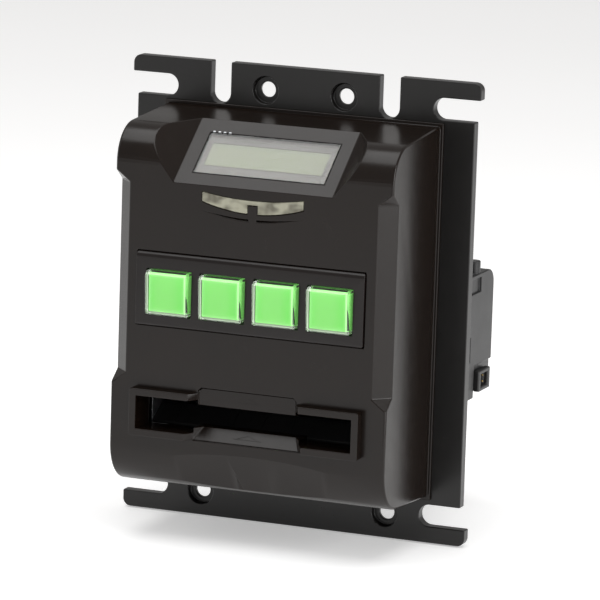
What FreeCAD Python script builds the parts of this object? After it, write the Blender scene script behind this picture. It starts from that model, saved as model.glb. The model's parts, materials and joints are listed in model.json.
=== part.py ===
import FreeCAD, Part
import math
import os
import Sketcher

# Ticket and note acceptor module: a flange plate with a hollow front cover, lit push
# buttons, a character display and a ticket mouth, and a motor-driven transport behind.
# Millimetres. X is across, +Y runs from the front to the rear, +Z is up. The origin is
# the middle of the flange plate's rear face.

os.makedirs("parts", exist_ok=True)
doc = FreeCAD.newDocument("TicketModule")
sheet = doc.addObject("Spreadsheet::Sheet", "Sizes")
parts = []


# ---------------------------------------------------------------- sizes and formulas

class Size:
    """A number that also carries the sheet formula it comes from."""

    def __init__(self, value, text):
        self.value = float(value)
        self.text = text

    def __add__(self, other):
        other = as_size(other)
        return Size(self.value + other.value, f"({self.text} + {other.text})")

    def __sub__(self, other):
        other = as_size(other)
        return Size(self.value - other.value, f"({self.text} - {other.text})")

    def __mul__(self, other):
        other = as_size(other)
        return Size(self.value * other.value, f"({self.text} * {other.text})")

    def __truediv__(self, other):
        other = as_size(other)
        return Size(self.value / other.value, f"({self.text} / {other.text})")

    def __neg__(self):
        return Size(-self.value, f"(0 - {self.text})")

    def __radd__(self, other):
        return as_size(other) + self

    def __rsub__(self, other):
        return as_size(other) - self

    def __rmul__(self, other):
        return as_size(other) * self

    def __rtruediv__(self, other):
        return as_size(other) / self


def as_size(number):
    """A plain number becomes a Size with no name."""
    if isinstance(number, Size):
        return number
    return Size(number, f"{float(number):.9g}" if number >= 0 else f"(0 - {-float(number):.9g})")


def cosine(angle):
    """Cosine of an angle in degrees."""
    return Size(math.cos(math.radians(angle.value)), f"cos({angle.text})")


def sine(angle):
    """Sine of an angle in degrees."""
    return Size(math.sin(math.radians(angle.value)), f"sin({angle.text})")


def tangent(angle):
    """Tangent of an angle in degrees."""
    return sine(angle) / cosine(angle)


def dimension(alias, value):
    """Write one driving dimension to the next row of the sheet and return it."""
    dimension.row += 1
    sheet.set(f"A{dimension.row}", alias)
    sheet.set(f"B{dimension.row}", f"{value}")
    sheet.setAlias(f"B{dimension.row}", alias)
    return Size(value, f"Sizes.{alias}")


dimension.row = 0

# Flange plate
plate_width = dimension("plate_width", 140.0)
plate_height = dimension("plate_height", 175.8)
plate_thick = dimension("plate_thick", 4.5)
side_relief = dimension("side_relief", 2.1)
arm_round = dimension("arm_round", 3.0)
arm_height = dimension("arm_height", 6.4)
slot_height = dimension("slot_height", 8.3)
slot_reach = dimension("slot_reach", 18.5)
notch_pitch = dimension("notch_pitch", 68.0)
notch_width = dimension("notch_width", 8.0)
notch_depth = dimension("notch_depth", 15.8)
upper_hole_pitch = dimension("upper_hole_pitch", 31.6)
lower_hole_pitch = dimension("lower_hole_pitch", 75.4)
hole_edge = dimension("hole_edge", 9.5)
hole_bore = dimension("hole_bore", 5.9)
hole_recess = dimension("hole_recess", 10.3)
recess_depth = dimension("recess_depth", 2.6)
board_post_radius = dimension("board_post_radius", 2.5)
board_post_inset = dimension("board_post_inset", 3.0)

# Front cover
cover_width = dimension("cover_width", 110.0)
cover_height = dimension("cover_height", 140.9)
cover_lift = dimension("cover_lift", 0.45)
cover_depth = dimension("cover_depth", 48.6)
cover_wall = dimension("cover_wall", 2.5)
cover_draft = dimension("cover_draft", 3.4)
shoulder_round = dimension("shoulder_round", 14.0)
belly_round = dimension("belly_round", 16.0)
rim_reach = dimension("rim_reach", 1.2)
rim_thick = dimension("rim_thick", 1.5)
edge_round = dimension("edge_round", 1.0)
flank_cut = dimension("flank_cut", 6.0)
flank_rise = dimension("flank_rise", 45.7)
flank_drop = dimension("flank_drop", 23.3)
flank_slope = dimension("flank_slope", 47.0)
boss_radius = dimension("boss_radius", 3.5)
boss_inset = dimension("boss_inset", 5.5)
boss_length = dimension("boss_length", 14.0)
web_half = dimension("web_half", 0.8)
button_post_radius = dimension("button_post_radius", 1.6)
button_post_rise = dimension("button_post_rise", 8.0)
light_post_radius = dimension("light_post_radius", 1.2)
relief_rise = dimension("relief_rise", 18.6)
relief_radius = dimension("relief_radius", 409.0)
relief_tilt = dimension("relief_tilt", 29.0)
relief_length = dimension("relief_length", 60.0)
relief_shift = dimension("relief_shift", 2.0)

# Tilted display
display_tilt = dimension("display_tilt", 38.2)
display_depth = dimension("display_depth", 8.9)
display_set = dimension("display_set", 12.7)
display_drop = dimension("display_drop", 11.9)
display_floor = dimension("display_floor", 63.0)
display_flare = dimension("display_flare", 45.0)
display_reach = dimension("display_reach", 40.0)
tub_drop = dimension("tub_drop", 18.0)
tub_back = dimension("tub_back", 12.0)
window_width = dimension("window_width", 52.0)
window_height = dimension("window_height", 20.4)
window_thick = dimension("window_thick", 1.2)
layer_gap = dimension("layer_gap", 0.05)
glass_width = dimension("glass_width", 46.8)
glass_height = dimension("glass_height", 11.3)
glass_thick = dimension("glass_thick", 1.0)

# Status light
lens_half = dimension("lens_half", 20.0)
lens_drop = dimension("lens_drop", 31.0)
lens_height = dimension("lens_height", 4.8)
lens_low_radius = dimension("lens_low_radius", 64.0)
lens_high_radius = dimension("lens_high_radius", 112.0)
lens_proud = dimension("lens_proud", 0.2)
lens_notch = dimension("lens_notch", 4.2)
lens_link = dimension("lens_link", 1.5)
emitter_half = dimension("emitter_half", 1.6)
emitter_height = dimension("emitter_height", 2.8)
emitter_thick = dimension("emitter_thick", 1.8)
groove_drop = dimension("groove_drop", 2.9)
groove_width = dimension("groove_width", 0.7)
groove_depth = dimension("groove_depth", 0.5)
groove_half = dimension("groove_half", 16.0)
groove_bridge = dimension("groove_bridge", 1.6)

# Buttons
panel_width = dimension("panel_width", 90.6)
panel_height = dimension("panel_height", 27.9)
panel_lift = dimension("panel_lift", 1.05)
panel_brow = dimension("panel_brow", 2.2)
panel_under = dimension("panel_under", 0.9)
panel_proud = dimension("panel_proud", 1.1)
panel_inset = dimension("panel_inset", 1.4)
button_pitch = dimension("button_pitch", 21.36)
button_rise = dimension("button_rise", 6.95)
cap_width = dimension("cap_width", 17.2)
cap_height = dimension("cap_height", 16.6)
cap_proud = dimension("cap_proud", 4.3)
cap_length = dimension("cap_length", 6.5)
cap_lean = dimension("cap_lean", 1.1)
cap_brow = dimension("cap_brow", 1.3)
cap_brow_depth = dimension("cap_brow_depth", 2.2)
cap_wall = dimension("cap_wall", 1.2)
cap_face = dimension("cap_face", 1.0)
cap_gap = dimension("cap_gap", 0.4)
plunger_plate = dimension("plunger_plate", 1.5)
stem_radius = dimension("stem_radius", 3.0)
stem_length = dimension("stem_length", 9.4)
button_travel = dimension("button_travel", 2.5)
switch_width = dimension("switch_width", 15.6)
spring_room = dimension("spring_room", 3.4)
spring_wire = dimension("spring_wire", 0.25)
spring_set = dimension("spring_set", 1.2)
spring_turns = dimension("spring_turns", 3.0)
board_thick = dimension("board_thick", 1.6)
main_board_half = dimension("main_board_half", 37.0)
board_rise = dimension("board_rise", 8.55)
board_drop = dimension("board_drop", 15.9)
button_board_half = dimension("button_board_half", 11.0)
chip_thick = dimension("chip_thick", 2.2)
connector_thick = dimension("connector_thick", 6.5)

# Ticket mouth
mouth_rise = dimension("mouth_rise", 31.85)
mouth_width = dimension("mouth_width", 86.0)
mouth_height = dimension("mouth_height", 12.5)
ring_wall = dimension("ring_wall", 2.7)
ring_proud = dimension("ring_proud", 4.2)
sleeve_wall = dimension("sleeve_wall", 1.4)
sleeve_length = dimension("sleeve_length", 9.0)
scoop_half = dimension("scoop_half", 19.5)
scoop_lower_half = dimension("scoop_lower_half", 21.0)
scoop_rise = dimension("scoop_rise", 4.6)
scoop_depth = dimension("scoop_depth", 4.2)
cheek_slope = dimension("cheek_slope", 32.0)
tongue_set = dimension("tongue_set", 0.9)
tongue_reach = dimension("tongue_reach", 1.9)
tongue_corner = dimension("tongue_corner", 1.2)
shutter_thick = dimension("shutter_thick", 1.0)
shutter_overlap = dimension("shutter_overlap", 0.5)
shutter_tab = dimension("shutter_tab", 2.0)
shutter_tab_half = dimension("shutter_tab_half", 5.0)
rail_reach = dimension("rail_reach", 2.4)

# Transport
path_gap = dimension("path_gap", 1.5)
guide_thick = dimension("guide_thick", 0.8)
guide_ramp = dimension("guide_ramp", 9.0)
roller_room = dimension("roller_room", 0.6)
chassis_thick = dimension("chassis_thick", 1.2)
chassis_top = dimension("chassis_top", 2.0)
tie_radius = dimension("tie_radius", 1.8)
tab_half = dimension("tab_half", 4.0)
shaft_radius = dimension("shaft_radius", 2.0)
bearing_fit = dimension("bearing_fit", 0.05)
roller_radius = dimension("roller_radius", 7.5)
roller_width = dimension("roller_width", 10.0)
roller_spread = dimension("roller_spread", 26.0)
front_pinch_radius = dimension("front_pinch_radius", 4.0)
rear_pinch_radius = dimension("rear_pinch_radius", 2.3)
axle_radius = dimension("axle_radius", 0.6)
pin_radius = dimension("pin_radius", 1.0)
front_shaft_set = dimension("front_shaft_set", 22.1)
rear_shaft_set = dimension("rear_shaft_set", 13.5)
gear_module = dimension("gear_module", 0.8)
gear_width = dimension("gear_width", 2.2)
gear_teeth = dimension("gear_teeth", 20)
idler_teeth = dimension("idler_teeth", 22)
pinion_teeth = dimension("pinion_teeth", 12)
gear_backlash = dimension("gear_backlash", 0.12)
train_angle = dimension("train_angle", 142.0)
pulley_radius = dimension("pulley_radius", 4.0)
belt_thick = dimension("belt_thick", 0.9)
motor_radius = dimension("motor_radius", 9.0)
motor_length = dimension("motor_length", 30.0)
motor_nose_radius = dimension("motor_nose_radius", 3.4)
motor_cap_radius = dimension("motor_cap_radius", 4.0)
motor_cap_length = dimension("motor_cap_length", 2.0)

# Rear housing
housing_width = dimension("housing_width", 100.0)
housing_depth = dimension("housing_depth", 76.0)
housing_low = dimension("housing_low", -44.2)
housing_high = dimension("housing_high", 4.5)
housing_wall = dimension("housing_wall", 1.8)
housing_floor = dimension("housing_floor", 1.1)
housing_round = dimension("housing_round", 6.0)
tail_start = dimension("tail_start", 57.5)
tail_lift = dimension("tail_lift", 2.2)
exit_height = dimension("exit_height", 4.6)
flange_reach = dimension("flange_reach", 7.0)
flange_thick = dimension("flange_thick", 2.0)
lid_half = dimension("lid_half", 38.0)
lid_start = dimension("lid_start", 10.0)
lid_end = dimension("lid_end", 60.0)
lid_thick = dimension("lid_thick", 1.8)
lid_gap = dimension("lid_gap", 0.4)
lid_barrel_inset = dimension("lid_barrel_inset", 8.0)
lid_knuckle_inset = dimension("lid_knuckle_inset", 4.0)
knuckle_half = dimension("knuckle_half", 3.0)
hinge_radius = dimension("hinge_radius", 1.0)
knuckle_radius = dimension("knuckle_radius", 2.0)
latch_travel = dimension("latch_travel", 3.0)
latch_half = dimension("latch_half", 2.5)
latch_set = dimension("latch_set", 10.0)
pocket_depth = dimension("pocket_depth", 0.9)
side_window_length = dimension("side_window_length", 10.5)
side_window_height = dimension("side_window_height", 5.6)
side_window_drop = dimension("side_window_drop", 1.6)
side_window_set = dimension("side_window_set", 6.5)
side_groove_rise = dimension("side_groove_rise", 15.0)
side_groove_height = dimension("side_groove_height", 9.6)
side_groove_width = dimension("side_groove_width", 1.2)
side_groove_set = dimension("side_groove_set", 7.3)
socket_bay_height = dimension("socket_bay_height", 12.6)
peg_radius = dimension("peg_radius", 2.6)
peg_height = dimension("peg_height", 5.0)
socket_length = dimension("socket_length", 13.0)
socket_set = dimension("socket_set", 7.2)
socket_height = dimension("socket_height", 8.2)
socket_proud = dimension("socket_proud", 1.6)
socket_bore_length = dimension("socket_bore_length", 7.5)
socket_bore_height = dimension("socket_bore_height", 5.0)

# Fasteners and running clearance
screw_radius = dimension("screw_radius", 1.5)
screw_head = dimension("screw_head", 2.8)
cover_screw_length = dimension("cover_screw_length", 12.0)
housing_screw_length = dimension("housing_screw_length", 6.0)
chassis_screw_length = dimension("chassis_screw_length", 5.0)
small_screw = dimension("small_screw", 1.0)
small_head = dimension("small_head", 1.7)
clearance = dimension("clearance", 0.3)

doc.recompute()


# ---------------------------------------------------------------- building blocks

def bind(thing, prop, size):
    """Drive one property of a document object by a size's formula."""
    thing.setExpression(prop, as_size(size).text)


def place(thing, x, y, z):
    """Put an object at a point given by three sizes."""
    for axis, size in zip("xyz", (x, y, z)):
        bind(thing, f"Placement.Base.{axis}", size)


def box(name, x, y, z):
    """A block between two sizes along each axis."""
    block = doc.addObject("Part::Box", name)
    for prop, (low, high) in zip(("Length", "Width", "Height"), (x, y, z)):
        bind(block, prop, as_size(high) - low)
    place(block, x[0], y[0], z[0])
    return block


TURNS = {
    "X": FreeCAD.Rotation(FreeCAD.Vector(0, 1, 0), 90),
    "Y": FreeCAD.Rotation(FreeCAD.Vector(1, 0, 0), -90),
    "Z": FreeCAD.Rotation(),
}


def rod(name, axis, centre, radius, span):
    """A cylinder along an axis: centre holds the two other coordinates in XYZ order."""
    cylinder = doc.addObject("Part::Cylinder", name)
    bind(cylinder, "Radius", radius)
    bind(cylinder, "Height", as_size(span[1]) - span[0])
    cylinder.Placement = FreeCAD.Placement(FreeCAD.Vector(), TURNS[axis])
    where = list(centre)
    where.insert("XYZ".index(axis), span[0])
    place(cylinder, *where)
    return cylinder


def group_shape(kind, name, pieces):
    """A fuse, common or compound of several objects."""
    result = doc.addObject(kind, name)
    if kind == "Part::Compound":
        result.Links = pieces
    else:
        result.Shapes = pieces
    return result


def join(name, *pieces):
    """One solid fused from its pieces."""
    result = group_shape("Part::MultiFuse", name, list(pieces))
    result.Refine = True
    return result


def common(name, *pieces):
    """What the pieces have in common."""
    return group_shape("Part::MultiCommon", name, list(pieces))


def cut(name, base, *tools):
    """A base with its tools removed."""
    result = doc.addObject("Part::Cut", name)
    result.Base = base
    result.Tool = tools[0] if len(tools) == 1 else join(f"{name}_tools", *tools)
    result.Refine = True
    return result


def outline(sketch, corners):
    """Draw a closed outline through corners (u, v) or (u, v, radius), fully constrained."""
    count = len(corners)
    points = [FreeCAD.Vector(as_size(c[0]).value, as_size(c[1]).value, 0) for c in corners]
    radii = [as_size(c[2]).value if len(c) > 2 else 0.0 for c in corners]
    trims = []
    for i, point in enumerate(points):
        back = (points[i - 1] - point).normalize()
        ahead = (points[(i + 1) % count] - point).normalize()
        half = back.getAngle(ahead) / 2
        trims.append(radii[i] / math.tan(half))
    lines = []
    for i, point in enumerate(points):
        after = points[(i + 1) % count]
        along = (after - point).normalize()
        start = point + along * trims[i]
        end = after - along * trims[(i + 1) % count]
        lines.append(sketch.addGeometry(Part.LineSegment(start, end), False))
    for i, corner in enumerate(corners):
        before = lines[i - 1]
        after = lines[i]
        if radii[i]:
            marker = sketch.addGeometry(Part.Point(points[i]), True)
            fix_point(sketch, marker, 1, corner)
            sketch.addConstraint(Sketcher.Constraint("PointOnObject", marker, 1, before))
            sketch.addConstraint(Sketcher.Constraint("PointOnObject", marker, 1, after))
            round_corner(sketch, before, after, points[i], corner[2])
        else:
            sketch.addConstraint(Sketcher.Constraint("Coincident", before, 2, after, 1))
            fix_point(sketch, after, 1, corner)


def fix_point(sketch, geometry, end, corner):
    """Hold a point of a sketch at two sizes from its origin."""
    for kind, size in zip(("DistanceX", "DistanceY"), corner):
        size = as_size(size)
        index = sketch.addConstraint(Sketcher.Constraint(kind, -1, 1, geometry, end, size.value))
        if size.text.startswith("(") or size.text.startswith("Sizes"):
            sketch.setExpression(f"Constraints[{index}]", size.text)


def round_corner(sketch, before, after, corner, radius):
    """Join two lines by an arc that is tangent to both."""
    start = sketch.Geometry[before].EndPoint
    end = sketch.Geometry[after].StartPoint
    towards = (start + end) * 0.5 - corner
    reach = math.hypot((start - corner).Length, radius.value)
    centre = corner + towards.normalize() * reach
    turn = (corner - start).cross(end - corner).z
    first, last = (start, end) if turn > 0 else (end, start)
    angles = [math.atan2(p.y - centre.y, p.x - centre.x) for p in (first, last)]
    circle = Part.Circle(centre, FreeCAD.Vector(0, 0, 1), radius.value)
    arc = sketch.addGeometry(Part.ArcOfCircle(circle, *angles), False)
    ends = (1, 2) if turn > 0 else (2, 1)
    sketch.addConstraint(Sketcher.Constraint("Tangent", before, 2, arc, ends[0]))
    sketch.addConstraint(Sketcher.Constraint("Tangent", arc, ends[1], after, 1))
    index = sketch.addConstraint(Sketcher.Constraint("Radius", arc, radius.value))
    sketch.setExpression(f"Constraints[{index}]", radius.text)


def sketch_on(body, plane, offset):
    """A sketch on one of the body's own origin planes, moved along the plane's normal."""
    sketch = body.newObject("Sketcher::SketchObject", f"{body.Name}_sketch")
    origin_plane = [f for f in body.Origin.OriginFeatures if f.Role == f"{plane}_Plane"][0]
    sketch.AttachmentSupport = [(origin_plane, "")]
    sketch.MapMode = "FlatFace"
    bind(sketch, "AttachmentOffset.Base.z", -as_size(offset) if plane == "XZ" else offset)
    return sketch


def prism(name, plane, corners, span):
    """A PartDesign body: an outline on an origin plane, padded from span[0] to span[1]."""
    body = doc.addObject("PartDesign::Body", name)
    sketch = sketch_on(body, plane, span[0])
    outline(sketch, corners)
    pad = body.newObject("PartDesign::Pad", f"{name}_pad")
    pad.Profile = sketch
    bind(pad, "Length", as_size(span[1]) - span[0])
    pad.Reversed = plane == "XZ"
    sketch.Visibility = False
    return body


def soften(name, body, radius, choose):
    """Round the edges of a body's tip that the test picks."""
    doc.recompute()
    tip = body.Tip
    names = [f"Edge{i + 1}" for i, edge in enumerate(tip.Shape.Edges) if choose(edge)]
    fillet = body.newObject("PartDesign::Fillet", name)
    fillet.Base = (tip, names)
    bind(fillet, "Radius", radius)
    body.Tip = fillet
    return body


def runs_along(edge, axis):
    """True for a straight edge parallel to an axis."""
    if edge.Curve.TypeId != "Part::GeomLine":
        return False
    return abs(abs(getattr(edge.tangentAt(edge.FirstParameter), axis)) - 1) < 1e-6


def node(label, thing):
    """Name a finished sub-part, which also names its file."""
    thing.Label = label
    parts.append(thing)
    return thing


def screw(name, axis, centre, seat, length, radius, head_radius, towards=1):
    """A pan-head screw with a cross recess; seat is where the head meets the work."""
    head_height = head_radius * 0.7
    if towards > 0:
        shank_span = (seat, seat + length)
        head_span = (seat - head_height, seat)
        slot_span = (seat - head_height - 0.1, seat - head_height * 0.4)
    else:
        shank_span = (seat - length, seat)
        head_span = (seat, seat + head_height)
        slot_span = (seat + head_height * 0.4, seat + head_height + 0.1)
    shank = rod(f"{name}_shank", axis, centre, radius, shank_span)
    head = rod(f"{name}_head", axis, centre, head_radius, head_span)
    across = head_radius * 0.6
    arms = []
    for number, (wide, tall) in enumerate(((across, across * 0.25), (across * 0.25, across))):
        spans = [(centre[0] - wide, centre[0] + wide), (centre[1] - tall, centre[1] + tall)]
        spans.insert("XYZ".index(axis), slot_span)
        arms.append(box(f"{name}_arm_{number}", *spans))
    return cut(name, join(f"{name}_body", shank, head), *arms)


def gear(name, teeth, bore, centre, span, phase):
    """A spur gear on an axis along X; phase turns its first tooth from +Y towards +Z."""
    pitch = gear_module * teeth / 2
    root = pitch - gear_module * 1.25
    tip = pitch + gear_module
    half = gear_module * (math.pi / 4) - gear_backlash
    body = doc.addObject("PartDesign::Body", name)
    disc_sketch = sketch_on(body, "XY", Size(0, "0"))
    for radius in (root, bore):
        circle = Part.Circle(FreeCAD.Vector(), FreeCAD.Vector(0, 0, 1), radius.value)
        index = disc_sketch.addGeometry(circle, False)
        disc_sketch.addConstraint(Sketcher.Constraint("Coincident", index, 3, -1, 1))
        size = disc_sketch.addConstraint(Sketcher.Constraint("Radius", index, radius.value))
        disc_sketch.setExpression(f"Constraints[{size}]", radius.text)
    disc = body.newObject("PartDesign::Pad", f"{name}_disc")
    disc.Profile = disc_sketch
    width = span[1] - span[0]
    bind(disc, "Length", width)
    tooth_sketch = sketch_on(body, "XY", Size(0, "0"))
    foot = root - gear_module * 0.3
    corners = [(foot, -(half * 1.5)), (pitch, -half), (tip, -(half * 0.5))]
    corners += [(tip, half * 0.5), (pitch, half), (foot, half * 1.5)]
    outline(tooth_sketch, corners)
    tooth = body.newObject("PartDesign::Pad", f"{name}_tooth")
    tooth.Profile = tooth_sketch
    bind(tooth, "Length", width)
    ring = body.newObject("PartDesign::PolarPattern", f"{name}_teeth")
    ring.Originals = [tooth]
    z_axis = [f for f in body.Origin.OriginFeatures if f.Role == "Z_Axis"][0]
    ring.Axis = (z_axis, [""])
    ring.Angle = 360
    bind(ring, "Occurrences", teeth)
    body.Tip = ring
    # Local X goes to the tooth's direction in the YZ plane and local Z goes to +X.
    lie = FreeCAD.Rotation(FreeCAD.Vector(0, 1, 0), FreeCAD.Vector(0, 0, 1), FreeCAD.Vector(1, 0, 0))
    turn = FreeCAD.Rotation(FreeCAD.Vector(1, 0, 0), phase)
    body.Placement = FreeCAD.Placement(FreeCAD.Vector(), turn.multiply(lie))
    place(body, span[0], *centre)
    return body


# ---------------------------------------------------------------- flange plate

zero = Size(0, "0")
plate_half = plate_width / 2
plate_top = plate_height / 2
plate_front = -plate_thick
body_half = plate_half - side_relief
slot_round = slot_height / 2
slot_mid = plate_top - arm_height - slot_round
notch_low = plate_top - notch_depth
notch_mid = notch_low + notch_width / 2
hole_row = plate_top - hole_edge
through = (plate_front - 1, zero + 1)
plate_seat = (plate_front, zero)


def side_slot(name, side, z):
    """The cutter of one slot that opens at the side of the plate."""
    deep = plate_half - slot_reach + slot_round
    ends = sorted((deep * side, (plate_half + 1) * side), key=lambda size: size.value)
    block = box(f"{name}_run", ends, through, (z - slot_round, z + slot_round))
    return join(name, block, rod(f"{name}_end", "Y", (deep * side, z), slot_round, through))


def top_notch(name, x):
    """The cutter of one notch that opens at the top of the plate."""
    half = notch_width / 2
    block = box(f"{name}_run", (x - half, x + half), through, (notch_mid, plate_top + 1))
    return join(name, block, rod(f"{name}_end", "Y", (x, notch_mid), half, through))


def recessed_hole(name, x, z):
    """The cutter of one counterbored screw hole."""
    bore = rod(f"{name}_bore", "Y", (x, z), hole_bore / 2, through)
    recess = rod(f"{name}_recess", "Y", (x, z), hole_recess / 2,
                 (plate_front - 1, plate_front + recess_depth))
    return join(name, bore, recess)


def make_plate():
    """The moulded flange plate with its slots, notches, holes and module window."""
    corner = arm_round
    profile = [(-plate_half, -plate_top, corner), (plate_half, -plate_top, corner),
               (plate_half, plate_top, corner), (-plate_half, plate_top, corner)]
    slab = prism("plate_slab", "XZ", profile, plate_seat)
    posts = [rod(f"board_post_{i}", "Y", at, board_post_radius, (main_board_back, plate_front + 1))
             for i, at in enumerate(board_posts)]
    blank = join("plate_blank", slab, *posts)
    low, high = slot_mid - slot_round, slot_mid + slot_round
    tools = []
    for side, word in ((-1, "left"), (1, "right")):
        relief = sorted((body_half * side, (plate_half + 1) * side), key=lambda size: size.value)
        tools.append(box(f"relief_{word}", relief, through, (-low, low)))
        tools.append(side_slot(f"slot_top_{word}", side, slot_mid))
        tools.append(side_slot(f"slot_base_{word}", side, -slot_mid))
        tools.append(top_notch(f"notch_{word}", notch_pitch / 2 * side))
        tools.append(recessed_hole(f"hole_top_{word}", upper_hole_pitch / 2 * side, hole_row))
        tools.append(recessed_hole(f"hole_base_{word}", lower_hole_pitch / 2 * side, -hole_row))
    tools.append(box("plate_window", (-window_half, window_half), through, (window_low, window_high)))
    for number, (x, z) in enumerate(cover_bosses):
        bore = screw_radius + clearance / 2
        tools.append(rod(f"cover_screw_hole_{number}", "Y", (x, z), bore, through))
    for number, at in enumerate(housing_screws):
        tools.append(rod(f"housing_screw_hole_{number}", "Y", at, screw_radius, through))
    for number, at in enumerate(tab_screws):
        tools.append(rod(f"tab_screw_hole_{number}", "Y", at, small_screw, through))
    node("mounting_plate", cut("plate_cut", blank, *tools))


# ---------------------------------------------------------------- front cover

cover_half = cover_width / 2
cover_top = cover_height / 2 + cover_lift
cover_low = cover_lift - cover_height / 2
cover_front = plate_front - cover_depth
rise = cover_depth * tangent(cover_draft)
flank_low = cover_low + flank_rise
flank_high = cover_top - flank_drop
display_mid_y = cover_front + display_set
display_mid_z = cover_top - display_drop
lens_low = cover_top - lens_drop
lens_high = lens_low + lens_height
button_mid = cover_lift + button_rise
panel_mid = button_mid + panel_lift
mouth_mid = cover_low + mouth_rise
relief_crown = cover_low + relief_rise
inner_half = cover_half - cover_wall
inner_front = cover_front + cover_wall
inner_top = cover_top - cover_wall
inner_low = cover_low + cover_wall

main_board_back = plate_front - boss_length - 1
board_low = cover_lift + board_rise
board_high = cover_top - board_drop
board_posts = [((main_board_half - board_post_inset) * i, z) for i in (-1, 1)
               for z in (board_low + board_post_inset, board_high - board_post_inset)]
boss_x = inner_half - boss_inset
boss_z = cover_height / 2 - cover_wall - boss_inset
cover_bosses = [(boss_x * i, cover_lift + boss_z * k) for i in (-1, 1) for k in (-1, 1)]

lens_back = inner_front + 1
light_board_front = lens_back + 3.2

panel_front = cover_front - panel_proud
panel_back = cover_front + panel_inset
button_front = cover_front - cap_proud
button_places = [(button_pitch * (i - 1.5)) for i in range(4)]
plunger_back = button_front + cap_length + plunger_plate
switch_front = plunger_back + spring_room
stem_end = plunger_back + stem_length
switch_back = stem_end + button_travel + 1
button_board_front = switch_back
button_posts = [((button_pitch * 1.5 + switch_width / 2 + 2) * i, button_mid + button_post_rise * k)
                for i in (-1, 1) for k in (-1, 1)]

ring_front = cover_front - ring_proud
sleeve_back = cover_front + sleeve_length
mouth_half = mouth_width / 2
mouth_low = mouth_mid - mouth_height / 2
mouth_high = mouth_mid + mouth_height / 2


def band(name, grow, low, high, half, span):
    """An arched band, symmetric about X = 0, between a low and a high arc."""
    low_round = rod(f"{name}_low", "Y", (zero, low + lens_low_radius), lens_low_radius + grow, span)
    high_cut = rod(f"{name}_high", "Y", (zero, high + lens_high_radius), lens_high_radius - grow,
                   (span[0] - 1, span[1] + 1))
    reach = box(f"{name}_reach", (-half - grow, half + grow), span, (low - 1, high + lens_low_radius))
    return cut(name, common(f"{name}_arch", low_round, reach), high_cut)


def tilted(name, half_width, half_height, low, high):
    """A block square to the display facet; low and high are along the facet's normal."""
    block = doc.addObject("Part::Box", name)
    bind(block, "Length", half_width * 2)
    bind(block, "Width", high - low)
    bind(block, "Height", half_height * 2)
    turn = display_tilt + 90
    block.Placement.Rotation = FreeCAD.Rotation(FreeCAD.Vector(1, 0, 0), turn.value)
    bind(block, "Placement.Rotation.Angle", turn)
    normal_y, normal_z = -sine(display_tilt), cosine(display_tilt)
    down_y, down_z = -cosine(display_tilt), -sine(display_tilt)
    place(block, -half_width,
          display_mid_y + normal_y * low - down_y * half_height,
          display_mid_z + normal_z * low - down_z * half_height)
    return block


def display_wedge(name, grow, low):
    """The flared well over the display facet, widening towards the outside."""
    height = display_depth + 8 - low
    wedge = doc.addObject("Part::Wedge", name)
    half = display_floor / 2 + grow
    wide = half + height * tangent(display_flare)
    reach = display_reach
    for prop, size in (("Xmin", -half), ("Xmax", half), ("X2min", -wide), ("X2max", wide),
                       ("Ymin", low), ("Ymax", low + height), ("Zmin", -reach), ("Zmax", reach),
                       ("Z2min", -reach), ("Z2max", reach)):
        bind(wedge, prop, size)
    turn = display_tilt + 90
    wedge.Placement.Rotation = FreeCAD.Rotation(FreeCAD.Vector(1, 0, 0), turn.value)
    bind(wedge, "Placement.Rotation.Angle", turn)
    place(wedge, zero, display_mid_y, display_mid_z)
    return wedge


UP = FreeCAD.Vector(0, 0, 1)
diagonal = as_size(math.sqrt(0.5))


def flank_cutter(name, side):
    """The cutter of the long 45 degree chamfer on one front corner of the cover."""
    outer = cover_half + 2
    corners = [((cover_half - flank_cut - 2) * side, cover_front - 2),
               (outer * side, cover_front - 2), (outer * side, cover_front + flank_cut + 2)]
    if side < 0:
        corners.reverse()
    column = prism(f"{name}_column", "XY", corners, (flank_low - 20, flank_high + 20))
    over = as_size(3)
    depth = flank_cut * diagonal
    steep = tangent(flank_slope)
    side_view = [(-over, flank_low - (depth + over) * steep), (depth + over, flank_low + over * steep),
                 (depth + over, flank_high - over * steep),
                 (-over, flank_high + (depth + over) * steep)]
    slab = prism(f"{name}_slab", "YZ", side_view, (-flank_cut * 2, flank_cut * 2))
    slab.Placement = FreeCAD.Placement(FreeCAD.Vector(), FreeCAD.Rotation(UP, 45 * side))
    place(slab, cover_half * side, cover_front, zero)
    return common(name, column, slab)


def cover_profile(grow):
    """The side view of the cover, or of its cavity when grow is negative."""
    back = plate_front if grow == 0 else plate_front + 1
    front = cover_front if grow == 0 else inner_front
    top = cover_top if grow == 0 else inner_top
    low = cover_low if grow == 0 else inner_low
    upper = shoulder_round if grow == 0 else shoulder_round - cover_wall
    return [(back, low), (back, top), (front, top - rise, upper), (front, low + rise, belly_round)]


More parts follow.
